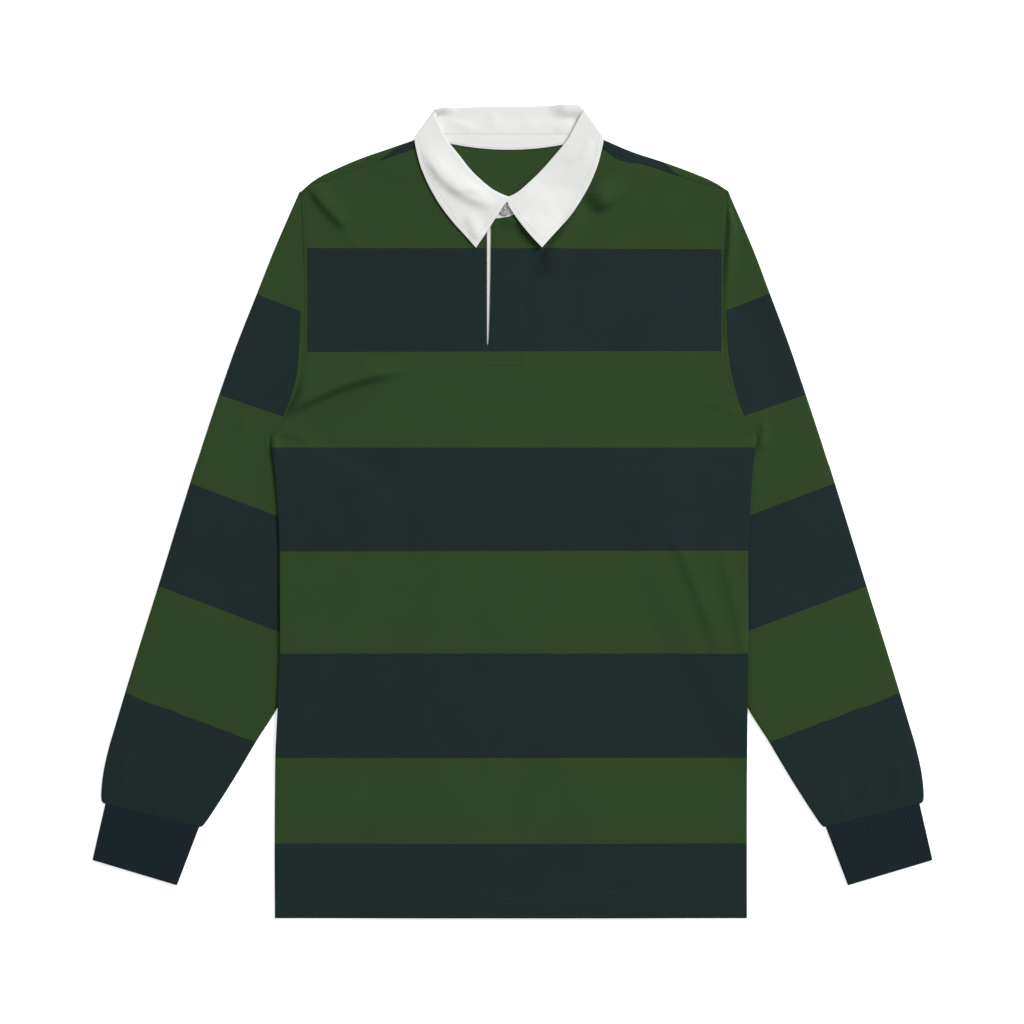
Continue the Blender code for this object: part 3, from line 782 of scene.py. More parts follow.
FRONT_CREASES = (
    # from the top of the right armhole, a short deep fold that fades as it turns down
    Crease(-205, 331, -161, 281, -3, 4.8, 11.0, 4.6),
    Crease(-176, 298, -146, 254, -2, 0.8, 7.0, 5.0),
    # from the right underarm in towards the chest
    Crease(-240, 90, -100, 143, 9, 9.0, 15.0, 4.2),
    Crease(-252, 84, -190, 64, 3, 1.6, 6.0, 3.2),
    # the right side's seam, which stands up at the underarm
    Crease(-240, 92, -238, 52, 0, 3.0, 5.0, 4.0),
    # from the left underarm
    Crease(246, 90, 176, 112, -4, 0.9, 5.0, 6.0),
    # down the left side, over the sleeve
    Crease(150, -4, 212, -160, 4, 2.5, 11.0, 5.0),
    Crease(203, -22, 233, -160, 3, 1.8, 8.0, 4.4),
    # beside the left leaf of the collar, and beside the placket's top
    Crease(77, 327, 96, 300, 0, 8.6, 20.0, 7.4),
    Crease(74, 308, 24, 234, 0, 7.0, 10.0, 8.4, domed=True),
    Crease(18, 291, -14, 290, 0, 3.2, 4.2, 6.0),
    # slack over the chest and the belly
    Crease(-120, 40, -40, -120, 10, 0.7, 24, 24),
    Crease(40, 120, 120, -20, -12, 0.6, 26, 26),
    Crease(-190, -180, -150, -330, 6, 0.7, 18, 18),
    Crease(60, -210, 90, -380, -8, 0.6, 22, 22),
)


def front_neck(side):
    """The front's neck edge from the placket slit to the shoulder seam."""
    count = steps_between(0, NECK_LENGTH, NECK_CELL)
    places = [mix(0, SHOULDER_ROW, share) for share in parts_of(count)]
    if side > 0:
        points = [(lap.seam_x, lap.seam_y - GAP) for lap in reversed(STAND_LAP)]
        return points + [seam_point(LAST_ROW - place) for place in places]
    points = [seam_point(place) for place in places]
    points = [point for point in points if point[0] < SLIT_X - CLEAR_OF_SLIT]
    return [(SLIT_X, points[0][1] - (SLIT_X - points[0][0]) * NECK_SLOPE)] + points


def slit_edge(side, y):
    open_share = max(y - SLIT_BOTTOM, 0) / (SLIT_TOP - SLIT_BOTTOM)
    if side < 0 and open_share > 0:
        return SLIT_X
    return SLIT_X + mix(SLIT_FOOT_WIDTH, SLIT_TOP_WIDTH, open_share**SLIT_CURVE)


def front_face(side, x, y):
    """The middle of the front's cloth with its creases, which fade towards the side's seams."""
    from_seam = abs(body_edge(side, y)) - abs(x)
    fade = ease(from_seam / (ARMHOLE_FADE if y > UNDERARM_Y else SIDE_FADE))
    return front_height(x, y) + creased(x, y, FRONT_CREASES) * fade


def front_half(side):
    """The front from its placket line out to one side, from the hem to the shoulder seam."""
    shares = parts_of(FRONT_COLUMNS)
    places = []
    levels = sorted(set(body_levels(HEM_Y, YOKE_Y, FRONT_CELL)) | {SLIT_BOTTOM})
    for y in levels:
        outer_x = body_edge(side, y) - side * SET_IN
        inner_x = slit_edge(side, y)
        places.append([(mix(inner_x, outer_x, share), y) for share in shares])
    neck = front_neck(side)
    beside_slit = parts_of(steps_between(YOKE_Y, neck[0][1], NECK_CELL))[1:-1]
    inner = [(slit_edge(side, y), y) for y in (mix(YOKE_Y, neck[0][1], s) for s in beside_slit)]
    inner += neck
    seam = [off_shoulder(side, part, SHOULDER_WRAP + SET_IN) for part in shares]
    run = [0.0]
    for start, end in zip([(slit_edge(side, YOKE_Y), YOKE_Y)] + inner, inner):
        run.append(run[-1] + math.dist(start, end))
    corner = run[len(beside_slit) + 1]
    for (inner_x, inner_y), far in zip(inner, run[1:]):
        outer_y = mix(YOKE_Y, seam[-1][1], far / run[-1])
        outer_x = armhole[side](outer_y) - side * SET_IN
        bent = max((far - corner) / (run[-1] - corner), 0) ** 2
        row = []
        for share, (seam_x, seam_y) in zip(shares, seam):
            straight = (mix(inner_x, outer_x, share), mix(inner_y, outer_y, share))
            pull = bent if share > 0 else 0
            row.append((mix(straight[0], seam_x, pull), mix(straight[1], seam_y, pull)))
        places.append(row)
    last_cells = zip(places[-2], places[-1])
    places.insert(-1, [[mix(a, b, DITCH_START) for a, b in zip(*cell)] for cell in last_cells])
    rows = [[body_point(side, x, y, front_face(side, x, y)) for x, y in row] for row in places]
    rows[-1] = [point._replace(z=point.z - SEAM_DITCH) for point in rows[-1]]
    return rows


front_panel = cloth("jersey_front", [front_half(-1), front_half(1)], JERSEY, jersey)
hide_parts("front_panel")


# ---------------------------------------------------------------- body's topstitching
# Lines of lockstitch in dark green thread hold down the hem, the placket's edges, the box at
# its foot, the armholes' felled seams and the forward shoulder seams.

STITCH = 2.6
STITCH_PITCH = 3.5  # from one stitch to the next
STITCH_RADIUS = 0.22
STITCH_SIDES = 6
STITCH_TIP = 0.12  # how far a stitch's ends taper
STITCH_TIP_INSET = 0.1
END_ON = 0.9  # a face counts as facing a way when its normal is this much along it
HEM_LINES = (20.0, 26.0)  # above the hem
BOX_RIGHT, BOX_LEFT = -22.5, 9.0
BOX_BOTTOM, BOX_TOP = 146.5, 153.5
FROM_SLIT = 2.4
FROM_ARMHOLE = 3.2
FROM_SHOULDER_SEAM = 2.4
FROM_SIDE_SEAM = 3.0
ABOVE_UNDERARM = 6.0
UNDER_COLLAR = 288.0


def sewing_thread(name, colour):
    """Spun polyester sewing thread: matt, with its two plies as a fine slanting ridge."""
    made, shader = new_finish(name)
    place = add_node(made, "TexCoord", {}).outputs["Object"]
    twist = {"Vector": place, "Scale": 0.25 / MM, "Distortion": 0.5}
    plies = add_node(made, "TexWave", twist, bands_direction="DIAGONAL").outputs["Fac"]
    bump = add_node(made, "Bump", {"Height": plies, "Strength": 0.4, "Distance": 0.08 * MM})
    feed(made, shader, {"Base Color": linear(colour), "Normal": bump})
    feed(made, shader, {"Roughness": 0.8, "Specular IOR Level": 0.3})
    return made


def sewn_line(points):
    """A line of stitches through these points: one stitch, repeated and bent along the line."""
    path = bpy.data.curves.new("sewn_path", "CURVE")
    path.dimensions = "3D"
    spline = path.splines.new("POLY")
    spline.points.add(len(points) - 1)
    for knot, point in zip(spline.points, points):
        knot.co = [MM * value for value in point] + [1.0]
    guide = bpy.data.objects.new("sewn_path", path)
    bpy.context.scene.collection.objects.link(guide)
    bpy.ops.mesh.primitive_cylinder_add(
        vertices=STITCH_SIDES,
        radius=STITCH_RADIUS * MM,
        depth=STITCH * MM,
        location=(STITCH / 2 * MM, 0, 0),
        rotation=(0, math.radians(90), 0),
    )
    bpy.ops.object.transform_apply(location=True, rotation=True, scale=True)
    line = bpy.context.object
    bpy.ops.object.mode_set(mode="EDIT")
    bpy.ops.mesh.select_mode(type="FACE")
    bpy.ops.object.mode_set(mode="OBJECT")
    for face in line.data.polygons:
        face.select = abs(face.normal.x) > END_ON
    bpy.ops.object.mode_set(mode="EDIT")
    bpy.ops.mesh.inset(
        thickness=STITCH_TIP_INSET * MM, depth=STITCH_TIP * MM, use_individual=True
    )
    bpy.ops.object.mode_set(mode="OBJECT")
    apply_modifier(
        line,
        "ARRAY",
        fit_type="FIT_CURVE",
        curve=guide,
        use_relative_offset=False,
        use_constant_offset=True,
        constant_offset_displace=(STITCH_PITCH * MM, 0, 0),
    )
    apply_modifier(line, "CURVE", object=guide, deform_axis="POS_X")
    bpy.data.objects.remove(guide)
    return line


def topstitched(name, lines, thread):
    """Lines of stitches as one piece in this thread."""
    piece = joined([sewn_line(points) for points in lines])
    piece.name = name
    bpy.ops.object.shade_smooth()
    piece.data.materials.append(thread)
    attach(piece, "root")
    return piece


def line_on_front(*corners):
    """Points on the front's face along straight lines from corner to corner."""
    points = []
    for start, end in zip(corners, corners[1:]):
        for share in parts_of(steps_between(0, math.dist(start, end), FRONT_CELL)):
            x, y = mix(start[0], end[0], share), mix(start[1], end[1], share)
            points.append((x, y, front_face(-1 if x < 0 else 1, x, y) + JERSEY / 2))
    return points


def armhole_line(side):
    top = shoulder[side][1](1.0) - SHOULDER_WRAP
    levels = body_levels(UNDERARM_Y + ABOVE_UNDERARM, top, FRONT_CELL)
    edge = [(armhole[side](y) - side * FROM_ARMHOLE, y) for y in levels if y > UNDERARM_Y]
    return [(x, y, front_face(side, x, y) + JERSEY / 2) for x, y in edge]


def shoulder_line(side):
    inset = SHOULDER_WRAP - FROM_SHOULDER_SEAM
    edge = [off_shoulder(side, part, inset) for part in parts_of(SHOULDER_CELLS)[1:-1]]
    return [(x, y, front_height(x, y) + JERSEY / 2) for x, y in edge]


green_thread = sewing_thread("dark_green_sewing_thread", "#26381F")
hem_ends = [body_edge(side, HEM_Y) - side * FROM_SIDE_SEAM for side in (-1, 1)]
slit_lines = [SLIT_X - FROM_SLIT, SLIT_X + SLIT_TOP_WIDTH + FROM_SLIT]
box = ((BOX_RIGHT, BOX_TOP), (BOX_LEFT, BOX_TOP), (BOX_LEFT, BOX_BOTTOM), (BOX_RIGHT, BOX_BOTTOM))
body_stitches = topstitched(
    "body_topstitching",
    [line_on_front(*[(x, HEM_Y + up) for x in hem_ends]) for up in HEM_LINES]
    + [line_on_front((x, BOX_TOP), (x, UNDER_COLLAR)) for x in slit_lines + [BOX_LEFT]]
    + [line_on_front(*box)]
    + [line(side) for side in (-1, 1) for line in (armhole_line, shoulder_line)],
    green_thread,
)


# ---------------------------------------------------------------- placket facing
# The under-placket is a strip of white cotton twill behind the slit, which shows in it as a
# fine white line. It lies on the back panel's inside.

FACING = 0.8
FACING_LEFT = 8.0
FACING_RIGHT = -38.0
FACING_PAST_SLIT = 7.5
FACING_CELL = 4.0
FACING_RAISED = 9.0  # this near to the slit it lies up against the front
FACING_UNDER_FRONT = 0.1
FACING_BELOW_NECK = 2.0


def on_back(x, y, thickness):
    """The middle of a cloth of this thickness that lies on the back."""
    return back_height(x, y) + JERSEY / 2 + GAP + thickness / 2


def facing_height(x, y):
    """The middle of the facing, which fills the slit from below."""
    raised = front_height(x, y) - JERSEY / 2 - FACING_UNDER_FRONT - FACING / 2
    near = ease(2 - abs(x - SLIT_X - SLIT_TOP_WIDTH / 2) / FACING_RAISED)
    return mix(on_back(x, y, FACING), raised, near)


def white_twill(name, colour):
    """Bleached cotton twill: a dense, matt white with a fine diagonal rib.

    The rib of such cloth is 0.6 mm apart, and it is drawn 1.2 mm apart, so that it shows.
    """
    wale, rise = 1.2 * MM, 0.12 * MM
    made, shader = new_finish(name)
    weave = add_node(made, "UVMap", {}, uv_map="knit")
    place = add_node(made, "SeparateXYZ", {0: weave})
    diagonal = {0: place.outputs["X"], 1: place.outputs["Y"]}
    ribs = wave(made, add_node(made, "Math", diagonal, operation="ADD"), wale)
    slubs = add_node(made, "TexNoise", {"Vector": weave, "Scale": 0.06 / MM, "Detail": 4.0})
    bump = add_node(made, "Bump", {"Height": ribs, "Strength": 0.2, "Distance": rise})
    woven = shaded(made, linear(colour)[:3], slubs, 0.965, 1.02)
    feed(made, shader, {"Base Color": woven, "Normal": bump})
    feed(made, shader, {"Roughness": 0.85, "Specular IOR Level": 0.3})
    return made


def facing_rows():
    rows = []
    top = SLIT_TOP - FACING_BELOW_NECK
    bottom = SLIT_BOTTOM - FACING_PAST_SLIT
    columns = parts_of(steps_between(FACING_RIGHT, FACING_LEFT, FACING_CELL))
    for share in parts_of(steps_between(bottom, top, FACING_CELL)):
        y = mix(bottom, top, share)
        xs = [mix(FACING_RIGHT, FACING_LEFT, column) for column in columns]
        rows.append([Point(x, y, facing_height(x, y), x, y) for x in xs])
    return rows


placket_twill = white_twill("white_placket_twill", "#E6E6E2")
facing = cloth("placket_facing_twill", [facing_rows()], FACING, placket_twill)
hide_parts("placket_facing")


# ---------------------------------------------------------------- sleeves
# Each sleeve is one piece of the banded jersey, folded along its outer edge and closed by an
# underarm seam. It lies flat beside the body, and its lower part runs in under the body.

FOLD_APART = 3.2  # between the two layers where the sleeve folds
LEFT_SHOULDER_OUT = 3.0  # the left sleeve starts this much further out
LEFT_OUT_FROM = 96.0  # and comes in to the right one's line from the shoulder down to here
LEFT_OUT_RAMP = 200.0
SLEEVE_FELL = 4.0  # how far the felled edge shows on the sleeve
FELL_FROM = 84.0  # from here up it widens from nothing
FELL_RAMP = 60.0
SLOPE_STEP = 2.0  # either way along the armhole, in which its slope is taken
FOLD_SHARE = 0.4  # of the sleeve's width, in which its layers open towards the fold
FOLD_FROM = 1.0  # the section from which the fold opens, and the sections that this takes
FOLD_RAMP = 3.0
SLEEVE_CELLS = 26
FOLD_CELLS = 8
SLEEVE_STEPS = 6  # mesh rows from one section of the table to the next
TUCK_Y = 65.0  # from here down the sleeve's edge runs in under the body
TUCK_RAMP = 9.0
TUCKED = 6.0
CLEAR_OF_BODY = 1.4  # a crease starts over this beside the body's edge
CLEAR_OF_FOLD = (2.0, 8.0)  # and over the second of these from the first inside the fold

# The sleeve's sections, from its folded outer edge to its armhole or underarm seam. They are
# the right sleeve's, and the left one mirrors them across the middle of the shirt.
SleeveRow = namedtuple("SleeveRow", "place outer_x outer_y inner_x inner_y")
SLEEVE_TIP = 0.6  # the sleeve's first section stands out from the shoulder's corner by this
SLEEVE_TOP_Y = 316.5  # where that section meets the armhole
BesideRow = namedtuple("BesideRow", "outer_x outer_y inner_y")
SLEEVE_BESIDE_BODY = (
    BesideRow(214.9, 315.2, 311.0),
    BesideRow(237.6, 263.0, YOKE_Y),
    BesideRow(255.4, 218.0, 211.5),
    BesideRow(274.8, 169.0, 165.5),
    BesideRow(288.0, 132.0, 131.5),
    BesideRow(299.6, 98.0, 94.5),
    BesideRow(306.0, 78.5, UNDERARM_Y),
    BesideRow(308.0, 72.5, 54.0),
)
BESIDE_LEVELS = [SLEEVE_TOP_Y] + [row.inner_y for row in SLEEVE_BESIDE_BODY]
FreeRow = namedtuple("FreeRow", "outer_x outer_y inner_x inner_y")
SLEEVE_FREE = (
    FreeRow(310.0, 66.5, 212.0, 41.0),
    FreeRow(312.8, 57.5, 180.0, 25.0),
    FreeRow(316.0, 48.0, 165.0, 4.0),
    FreeRow(319.2, 38.5, 160.0, -18.0),
    FreeRow(335.5, -14.0, 164.0, -60.0),
    FreeRow(351.9, -67.5, 181.0, -96.0),
    FreeRow(367.3, -116.5, 202.0, -136.0),
    FreeRow(382.2, -164.5, 236.0, -197.5),
    FreeRow(396.6, -212.5, 255.6, -228.5),
    FreeRow(404.0, -238.0, 274.3, -260.0),
    FreeRow(409.2, -262.5, 292.8, -289.5),
    FreeRow(411.0, -286.0, 308.0, -312.0),
    FreeRow(406.9, -291.4, 313.0, -314.6),
)

# The colour changes down the sleeve, each a line from the outer edge to the inner one. The
# first and last bands count as this deep.
FIRST_BAND = 100.0
LAST_BAND = 200.0
WITHIN_BAND = 0.99
BandRow = namedtuple("BandRow", "outer_x outer_y inner_x inner_y")
SLEEVE_BANDS = (
    BandRow(253.9, 216.8, 213.6, 201.0),
    BandRow(291.5, 116.0, 230.2, 95.0),
    BandRow(319.2, 27.7, 234.1, -4.7),
    BandRow(351.7, -75.2, 234.1, -119.9),
    BandRow(383.7, -182.0, 257.9, -229.5),
)

SLEEVE_CREASES = {
    -1: (
        Crease(-262, 100, -296, 58, 4, 1.0, 5.5, 4.0),
        Crease(-262, 30, -318, -40, 6, 0.8, 9.0, 9.0),
        Crease(-300, -70, -352, -150, -8, 0.7, 9.0, 9.0),
        Crease(-318, -262, -332, -316, -2, 1.3, 4.5, 3.4),
        Crease(-352, -250, -358, -308, 3, 1.0, 5.0, 4.0),
        Crease(-384, -230, -388, -298, -2, 1.2, 4.0, 3.4),
    ),
    1: (
        # along the armhole seam, where the sleeve's head stands up
        Crease(219, 332, 213, 226, 1, 4.0, 7.0, 2.2),
        Crease(213.5, 262, 213, 160, 1, 1.6, 6.0, 2.2),
        # beside the underarm
        Crease(251, 94, 247, 58, 0, 2.8, 6.0, 2.6),
        Crease(262, 36, 316, -44, -5, 0.8, 9.0, 9.0),
        Crease(300, -76, 350, -144, 8, 0.7, 9.0, 9.0),
        Crease(320, -258, 332, -312, 2, 1.2, 3.4, 4.5),
        Crease(356, -246, 360, -304, -3, 1.0, 4.0, 5.0),
        Crease(380, -234, 386, -296, 2, 1.2, 3.4, 4.0),
    ),
}
LevelRow = namedtuple("LevelRow", "place y")


def band_at(x, y):
    """The number of colour changes above this place on the sleeve, and the way to the next."""
    passed = []
    for line in SLEEVE_BANDS:
        run_x, run_y = line.inner_x - line.outer_x, line.inner_y - line.outer_y
        aside = (x - line.outer_x) * run_y - (y - line.outer_y) * run_x
        passed.append(-aside / math.hypot(run_x, run_y))
    if passed[0] < 0:
        return 2 + max(passed[0] / FIRST_BAND, -WITHIN_BAND)
    for index, (near, far) in enumerate(zip(passed, passed[1:])):
        if far < 0:
            return index + 2 + near / (near - far)
    return len(passed) + 1 + min(passed[-1] / LAST_BAND, WITHIN_BAND)


def beside_body(side, y):
    """Where the sleeve ends at the armhole, and under the body's side below it."""
    return abs(body_edge(side, y)) - TUCKED * ease((TUCK_Y - y) / TUCK_RAMP)


def sleeve_sections(side):
    """The sleeve's sections, on smooth curves through its tables from shoulder to wrist."""
    level_of = smooth_curve([LevelRow(i, y) for i, y in enumerate(BESIDE_LEVELS)], "place", "y")
    corner_x, corner_y = (axis(1.0) for axis in shoulder[side])
    tip = BesideRow(abs(corner_x) + SLEEVE_TIP, corner_y, SLEEVE_TOP_Y)
    rows = []
    for index, (outer_x, outer_y, y) in enumerate((tip,) + SLEEVE_BESIDE_BODY):
        if side > 0 and index > 0:
            outer_x += LEFT_SHOULDER_OUT * ease((outer_y - LEFT_OUT_FROM) / LEFT_OUT_RAMP)
        rows.append(SleeveRow(index, outer_x, outer_y, beside_body(side, y), y))
    beside = len(rows) - 1
    rows += [SleeveRow(beside + 1 + index, *row) for index, row in enumerate(SLEEVE_FREE)]
    outer = [smooth_curve(rows, "place", column) for column in ("outer_x", "outer_y")]
    inner = [smooth_curve(rows[beside:], "place", column) for column in ("inner_x", "inner_y")]
    last = len(rows) - 1
    sections = []
    for step in range(last * SLEEVE_STEPS + 1):
        place = step / SLEEVE_STEPS
        if place <= beside:
            y = level_of(place)
            ends = (beside_body(side, y), y)
        else:
            ends = (inner[0](place), inner[1](place))
        sections.append(SleeveRow(place, outer[0](place), outer[1](place), *ends))
    return sections


def tube_row(row, apart_outside, apart_inside, thickness, end_gap, cells, closed):
    """A section of a flattened tube as x, y, z and the way round: top, outer fold, underneath."""
    outer, inner = (row.outer_x, row.outer_y), (row.inner_x, row.inner_y)
    length = math.dist(outer, inner)
    way = ((inner[0] - outer[0]) / length, (inner[1] - outer[1]) / length)
    radius = apart_outside / 2
    low = thickness / 2
    start = radius + low
    end = length - (apart_inside / 2 + low if closed else end_gap)
    points = []

    def add(distance, height, round_it):
        points.append((outer[0] + distance * way[0], outer[1] + distance * way[1], height, round_it))

    def add_fold(middle, radius, first_angle, round_before):
        for turned in parts_of(FOLD_CELLS)[1:-1]:
            angle = first_angle + math.pi * turned
            height = low + radius + radius * math.sin(angle)
            add(middle + radius * math.cos(angle), height, round_before + radius * math.pi * turned)

    shares = parts_of(cells)
    for share in reversed(shares):
        apart = mix(apart_outside, apart_inside, ease(share / FOLD_SHARE))
        add(mix(start, end, share), low + apart, -share * length)
    add_fold(start, radius, math.pi / 2, 0.0)
    for share in shares:
        add(mix(start, end, share), low, math.pi * radius + share * length)
    if closed:
        add_fold(end, apart_inside / 2, -math.pi / 2, math.pi * radius + length)
        points.append(points[0])
    return points


def felled_sleeve_edge(side, x, y):
    """Below 1 on the armhole seam's green edge, which narrows towards the underarm."""
    width = SLEEVE_FELL * ease((y - FELL_FROM) / FELL_RAMP)
    before, after = (armhole[side](y + step) for step in (-SLOPE_STEP, SLOPE_STEP))
    slope = (after - before) / (2 * SLOPE_STEP)
    from_seam = (x - abs(armhole[side](y))) / math.hypot(1, slope)
    return 1 + (from_seam - width) / FELLED_SCALE


def sleeve_rows(side):
    rows = []
    along = 0.0
    sections = sleeve_sections(side)
    for index, row in enumerate(sections):
        before = sections[max(index - 1, 0)]
        outer = (row.outer_x, row.outer_y)
        along += math.dist(outer, (before.outer_x, before.outer_y))
        widest = mix(LAYER, FOLD_APART, ease((row.place - FOLD_FROM) / FOLD_RAMP))
        section = tube_row(row, widest, LAYER, JERSEY, SET_IN, SLEEVE_CELLS, closed=False)
        points = []
        for x, y, z, round_it in section:
            on_top = ease((z - JERSEY / 2) / LAYER)
            beside = abs(body_edge(side, y)) if y > HEM_Y else 0.0
            from_fold = (math.dist((x, y), outer) - CLEAR_OF_FOLD[0]) / CLEAR_OF_FOLD[1]
            free = ease((x - beside) / CLEAR_OF_BODY) * ease(from_fold)
            lift = on_top * free * creased(side * x, y, SLEEVE_CREASES[side])
            felled = FAR_FROM_SEAM
            if row.place < BESIDE_LEVELS.index(UNDERARM_Y):
                felled = felled_sleeve_edge(side, x, max(y, UNDERARM_Y))
            points.append(Point(side * x, y, z + lift, round_it, -along, band_at(x, y), felled))
        rows.append(points)
    return rows


for side in (-1, 1):
    rows = sleeve_rows(side)
    sleeve = cloth("jersey_sleeve_" + side_name(side), [rows], JERSEY, jersey)
    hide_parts("sleeve_" + side_name(side))
    above_cuff = [(x, y, z + JERSEY / 2) for x, y, z, *_ in rows[-SLEEVE_STEPS][1:SLEEVE_CELLS]]
    stitches = topstitched("cuff_topstitching_" + side_name(side), [above_cuff], green_thread)


# ---------------------------------------------------------------- cuffs
# A cuff is a doubled band of navy ribbed knit, which draws the sleeve's end in a little. It is
# knitted as a tube, and its ribs run towards the hand.

CUFF_NAVY = "#18252A"
RIB = 1.8  # the doubled rib's thickness
CUFF_APART = 2.1
CUFF_CELLS = 44
CUFF_ROWS = 16
RIB_PITCH = 3.2
CUFF_TOP = SleeveRow(0, 406.9, -291.5, 313.0, -314.7)
CUFF_BOTTOM = SleeveRow(1, 419.8, -347.6, 335.2, -372.9)


def rib_knit():
    """Cotton and elastane 1x1 rib: dark navy, a little denser and smoother than the jersey.

    Painted shade darkens the navy between the ribs, and a painted highlight lightens their crests.
    The ribs of such a cuff are 2 mm apart, and they are drawn 3.2 mm apart, so that they show.
    """
    made, shader = new_finish("navy_cotton_rib")
    place = add_node(made, "SeparateXYZ", {0: add_node(made, "UVMap", {}, uv_map="knit")})
    ribs = wave(made, place.outputs["X"], RIB_PITCH * MM)
    # painted shade and painted highlight: the navy is darker between the ribs and lighter on their
    # crests
    tone_and_rib_shade = shaded(made, linear(CUFF_NAVY)[:3], ribs, 0.86, 1.08, lowest=-1.0)
    bump = add_node(made, "Bump", {"Height": ribs, "Strength": 0.5, "Distance": 0.4 * MM})
    feed(made, shader, {"Base Color": tone_and_rib_shade, "Normal": bump, "Roughness": 0.88})
    feed(made, shader, {"Specular IOR Level": 0.1, "Sheen Weight": 0.02})
    return made


def cuff_rows(side):
    rows = []
    for share in parts_of(CUFF_ROWS):
        section = SleeveRow(*(mix(a, b, share) for a, b in zip(CUFF_TOP, CUFF_BOTTOM)))
        along = share * math.dist(CUFF_TOP[1:3], CUFF_BOTTOM[1:3])
        row = tube_row(section, CUFF_APART, CUFF_APART, RIB, 0, CUFF_CELLS, closed=True)
        rows.append([Point(side * x, y, z, round_it, -along) for x, y, z, round_it in row])
    return rows


cuff_knit = rib_knit()
for side in (-1, 1):
    cuff = cloth("rib_cuff_" + side_name(side), [cuff_rows(side)], RIB, cuff_knit)
    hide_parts("cuff_" + side_name(side))


# ---------------------------------------------------------------- collar stand
# The stand is a band of white cotton twill sewn into the neck seam. It stands up inside the
# fall to the roll, and its left end laps over its right end under the button.

TWILL = 1.4
COLLAR_STEPS = 9  # mesh rows from one of the collar's sections to the next
STAND_CELLS = 14
LAP_STEPS = 3
LAP_DEPTH = 14.0
BELOW_ROLL = 0.05  # how far below the roll's middle the stand's upper edge is
STAND_FADE = 0.2  # of the stand's height, in which its creases fade out at each edge

# Behind the neck the stand rises by this, to lie level with the tape, from a share of its height
# over another.
SEAM_RISE = 1.0
SEAM_RISE_FROM = 0.3
SEAM_RISE_RAMP = 0.5
STAND_CREASES = (
    Crease(-66, 390, -34, 379, 2, 0.7, 3.5, 3.5),
    Crease(60, 392, 40, 380, 2, 0.8, 4.0, 4.0),
    Crease(-24, 401, -18, 380, 3, 0.6, 5.0, 5.0),
    Crease(12, 400, 26, 382, -3, 0.5, 6.0, 6.0),
)


def collar_point(section, target, forward, up):
    """A point of the section: forward from the roll to the target, up through the layers."""
    along, out, _ = across(section, target)
    aside = up * math.sin(section.turn)
    roll_z = section.stand_z + section.radius * math.cos(section.turn)
    return [
        section.roll[0] + forward * along[0] + aside * out[0],
        section.roll[1] + forward * along[1] + aside * out[1],
        roll_z + up * math.cos(section.turn),
    ]


def round_collar(measured, row_of):
    """The row of each section round the collar, given the way round along its edge or seam."""
    rows = []
    along = 0.0
    before = None
    for step in range(LAST_ROW * COLLAR_STEPS + 1):
        section = collar_section(step / COLLAR_STEPS)
        point = getattr(section, measured)
        along += math.dist(point, before) if before else 0.0
        before = point
        rows.append(row_of(section, along))
    return rows


def stand_row(section, along):
    """The stand: from just inside the roll to the neck seam."""
    height = across(section, section.seam)[2]
    corner = CORNERS[-1 if section.place <= BACK_ROW else 1]
    behind = ease(section.turn - math.pi / 2)
    row = []
    for share in parts_of(STAND_CELLS):
        forward = mix(BELOW_ROLL, height, share)
        x, y, z = collar_point(section, section.seam, forward, -section.radius)
        fade = ease(share / STAND_FADE) * ease((1 - share) / STAND_FADE)
        down = ease((share - corner.start) / (corner.end - corner.start))
        z += creased(x, y, STAND_CREASES) * fade - corner_lift(section.place) * down
        z += SEAM_RISE * behind * ease((share - SEAM_RISE_FROM) / SEAM_RISE_RAMP)
        row.append(Point(x, y, z, along, forward))
    return row


def stand_rows():
    rows = round_collar("seam", stand_row)
    along = rows[-1][0].across
    last = LapRow(*rows[-1][0][:2], *rows[-1][-1][:2])
    laps = (last,) + STAND_LAP
    for start, end in zip(laps, laps[1:]):
        for step in parts_of(LAP_STEPS)[1:]:
            lap = LapRow(*(mix(a, b, step) for a, b in zip(start, end)))
            height = front_height(lap.seam_x, lap.seam_y)
            row = []
            for share in parts_of(STAND_CELLS):
                x, y = mix(lap.top_x, lap.seam_x, share), mix(lap.top_y, lap.seam_y, share)
                row.append(Point(x, y, height, along - x, LAP_DEPTH * share))
            rows.append(row)
    return rows


collar_twill = white_twill("white_collar_twill", "#E4E5E3")
stand_cloth = stand_rows()
stand = cloth("twill_collar_stand", [stand_cloth], TWILL, collar_twill)
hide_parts("collar_stand")

white_thread = sewing_thread("white_sewing_thread", "#D8D9D6")
behind_neck = stand_cloth[HALF_TURN_ROW * COLLAR_STEPS : -HALF_TURN_ROW * COLLAR_STEPS]
above_seam = [(row[-2].x, row[-2].y, row[-2].z + TWILL / 2) for row in behind_neck]
stand_stitches = topstitched("stand_topstitching", [above_seam], white_thread)


# ---------------------------------------------------------------- collar fall
# The fall is the part that turns over: white twill, fused to keep it crisp. It rolls over the
# stand, lies on the front as two pointed leaves, and turns under itself behind the neck.

LEAF_SLACK = 0.7
LEAF_REST = JERSEY / 2 + TWILL / 2 + LEAF_SLACK
FALL_Z = TWILL / 2
ROLL_CELLS = 10
LEAF_CELLS = 22

LEAF_CREASES = (
    # the right leaf: a long hollow inside its outer edge, a puff behind it and a dent across
    Crease(-92, 370, -6, 304, -16, 3.2, 14.0, 5.5),
    Crease(-66, 322, -16, 320, 0, 1.2, 8.0, 3.0),
    Crease(-46, 300, -30, 268, 0, 2.0, 8.0, 6.0),
    # the left leaf
    Crease(70, 350, 10, 316, -7, -0.9, 6.0, 5.0),
    Crease(56, 322, 30, 296, 0, 0.6, 9.0, 9.0),
    Crease(80, 372, 66, 352, 2, 0.7, 5.0, 5.0),
)
ROLL_REACH = 0.15  # the roll is pressed flat, and stands out no further than this
ROLL_START = 0.1  # how far round from its lowest line it starts

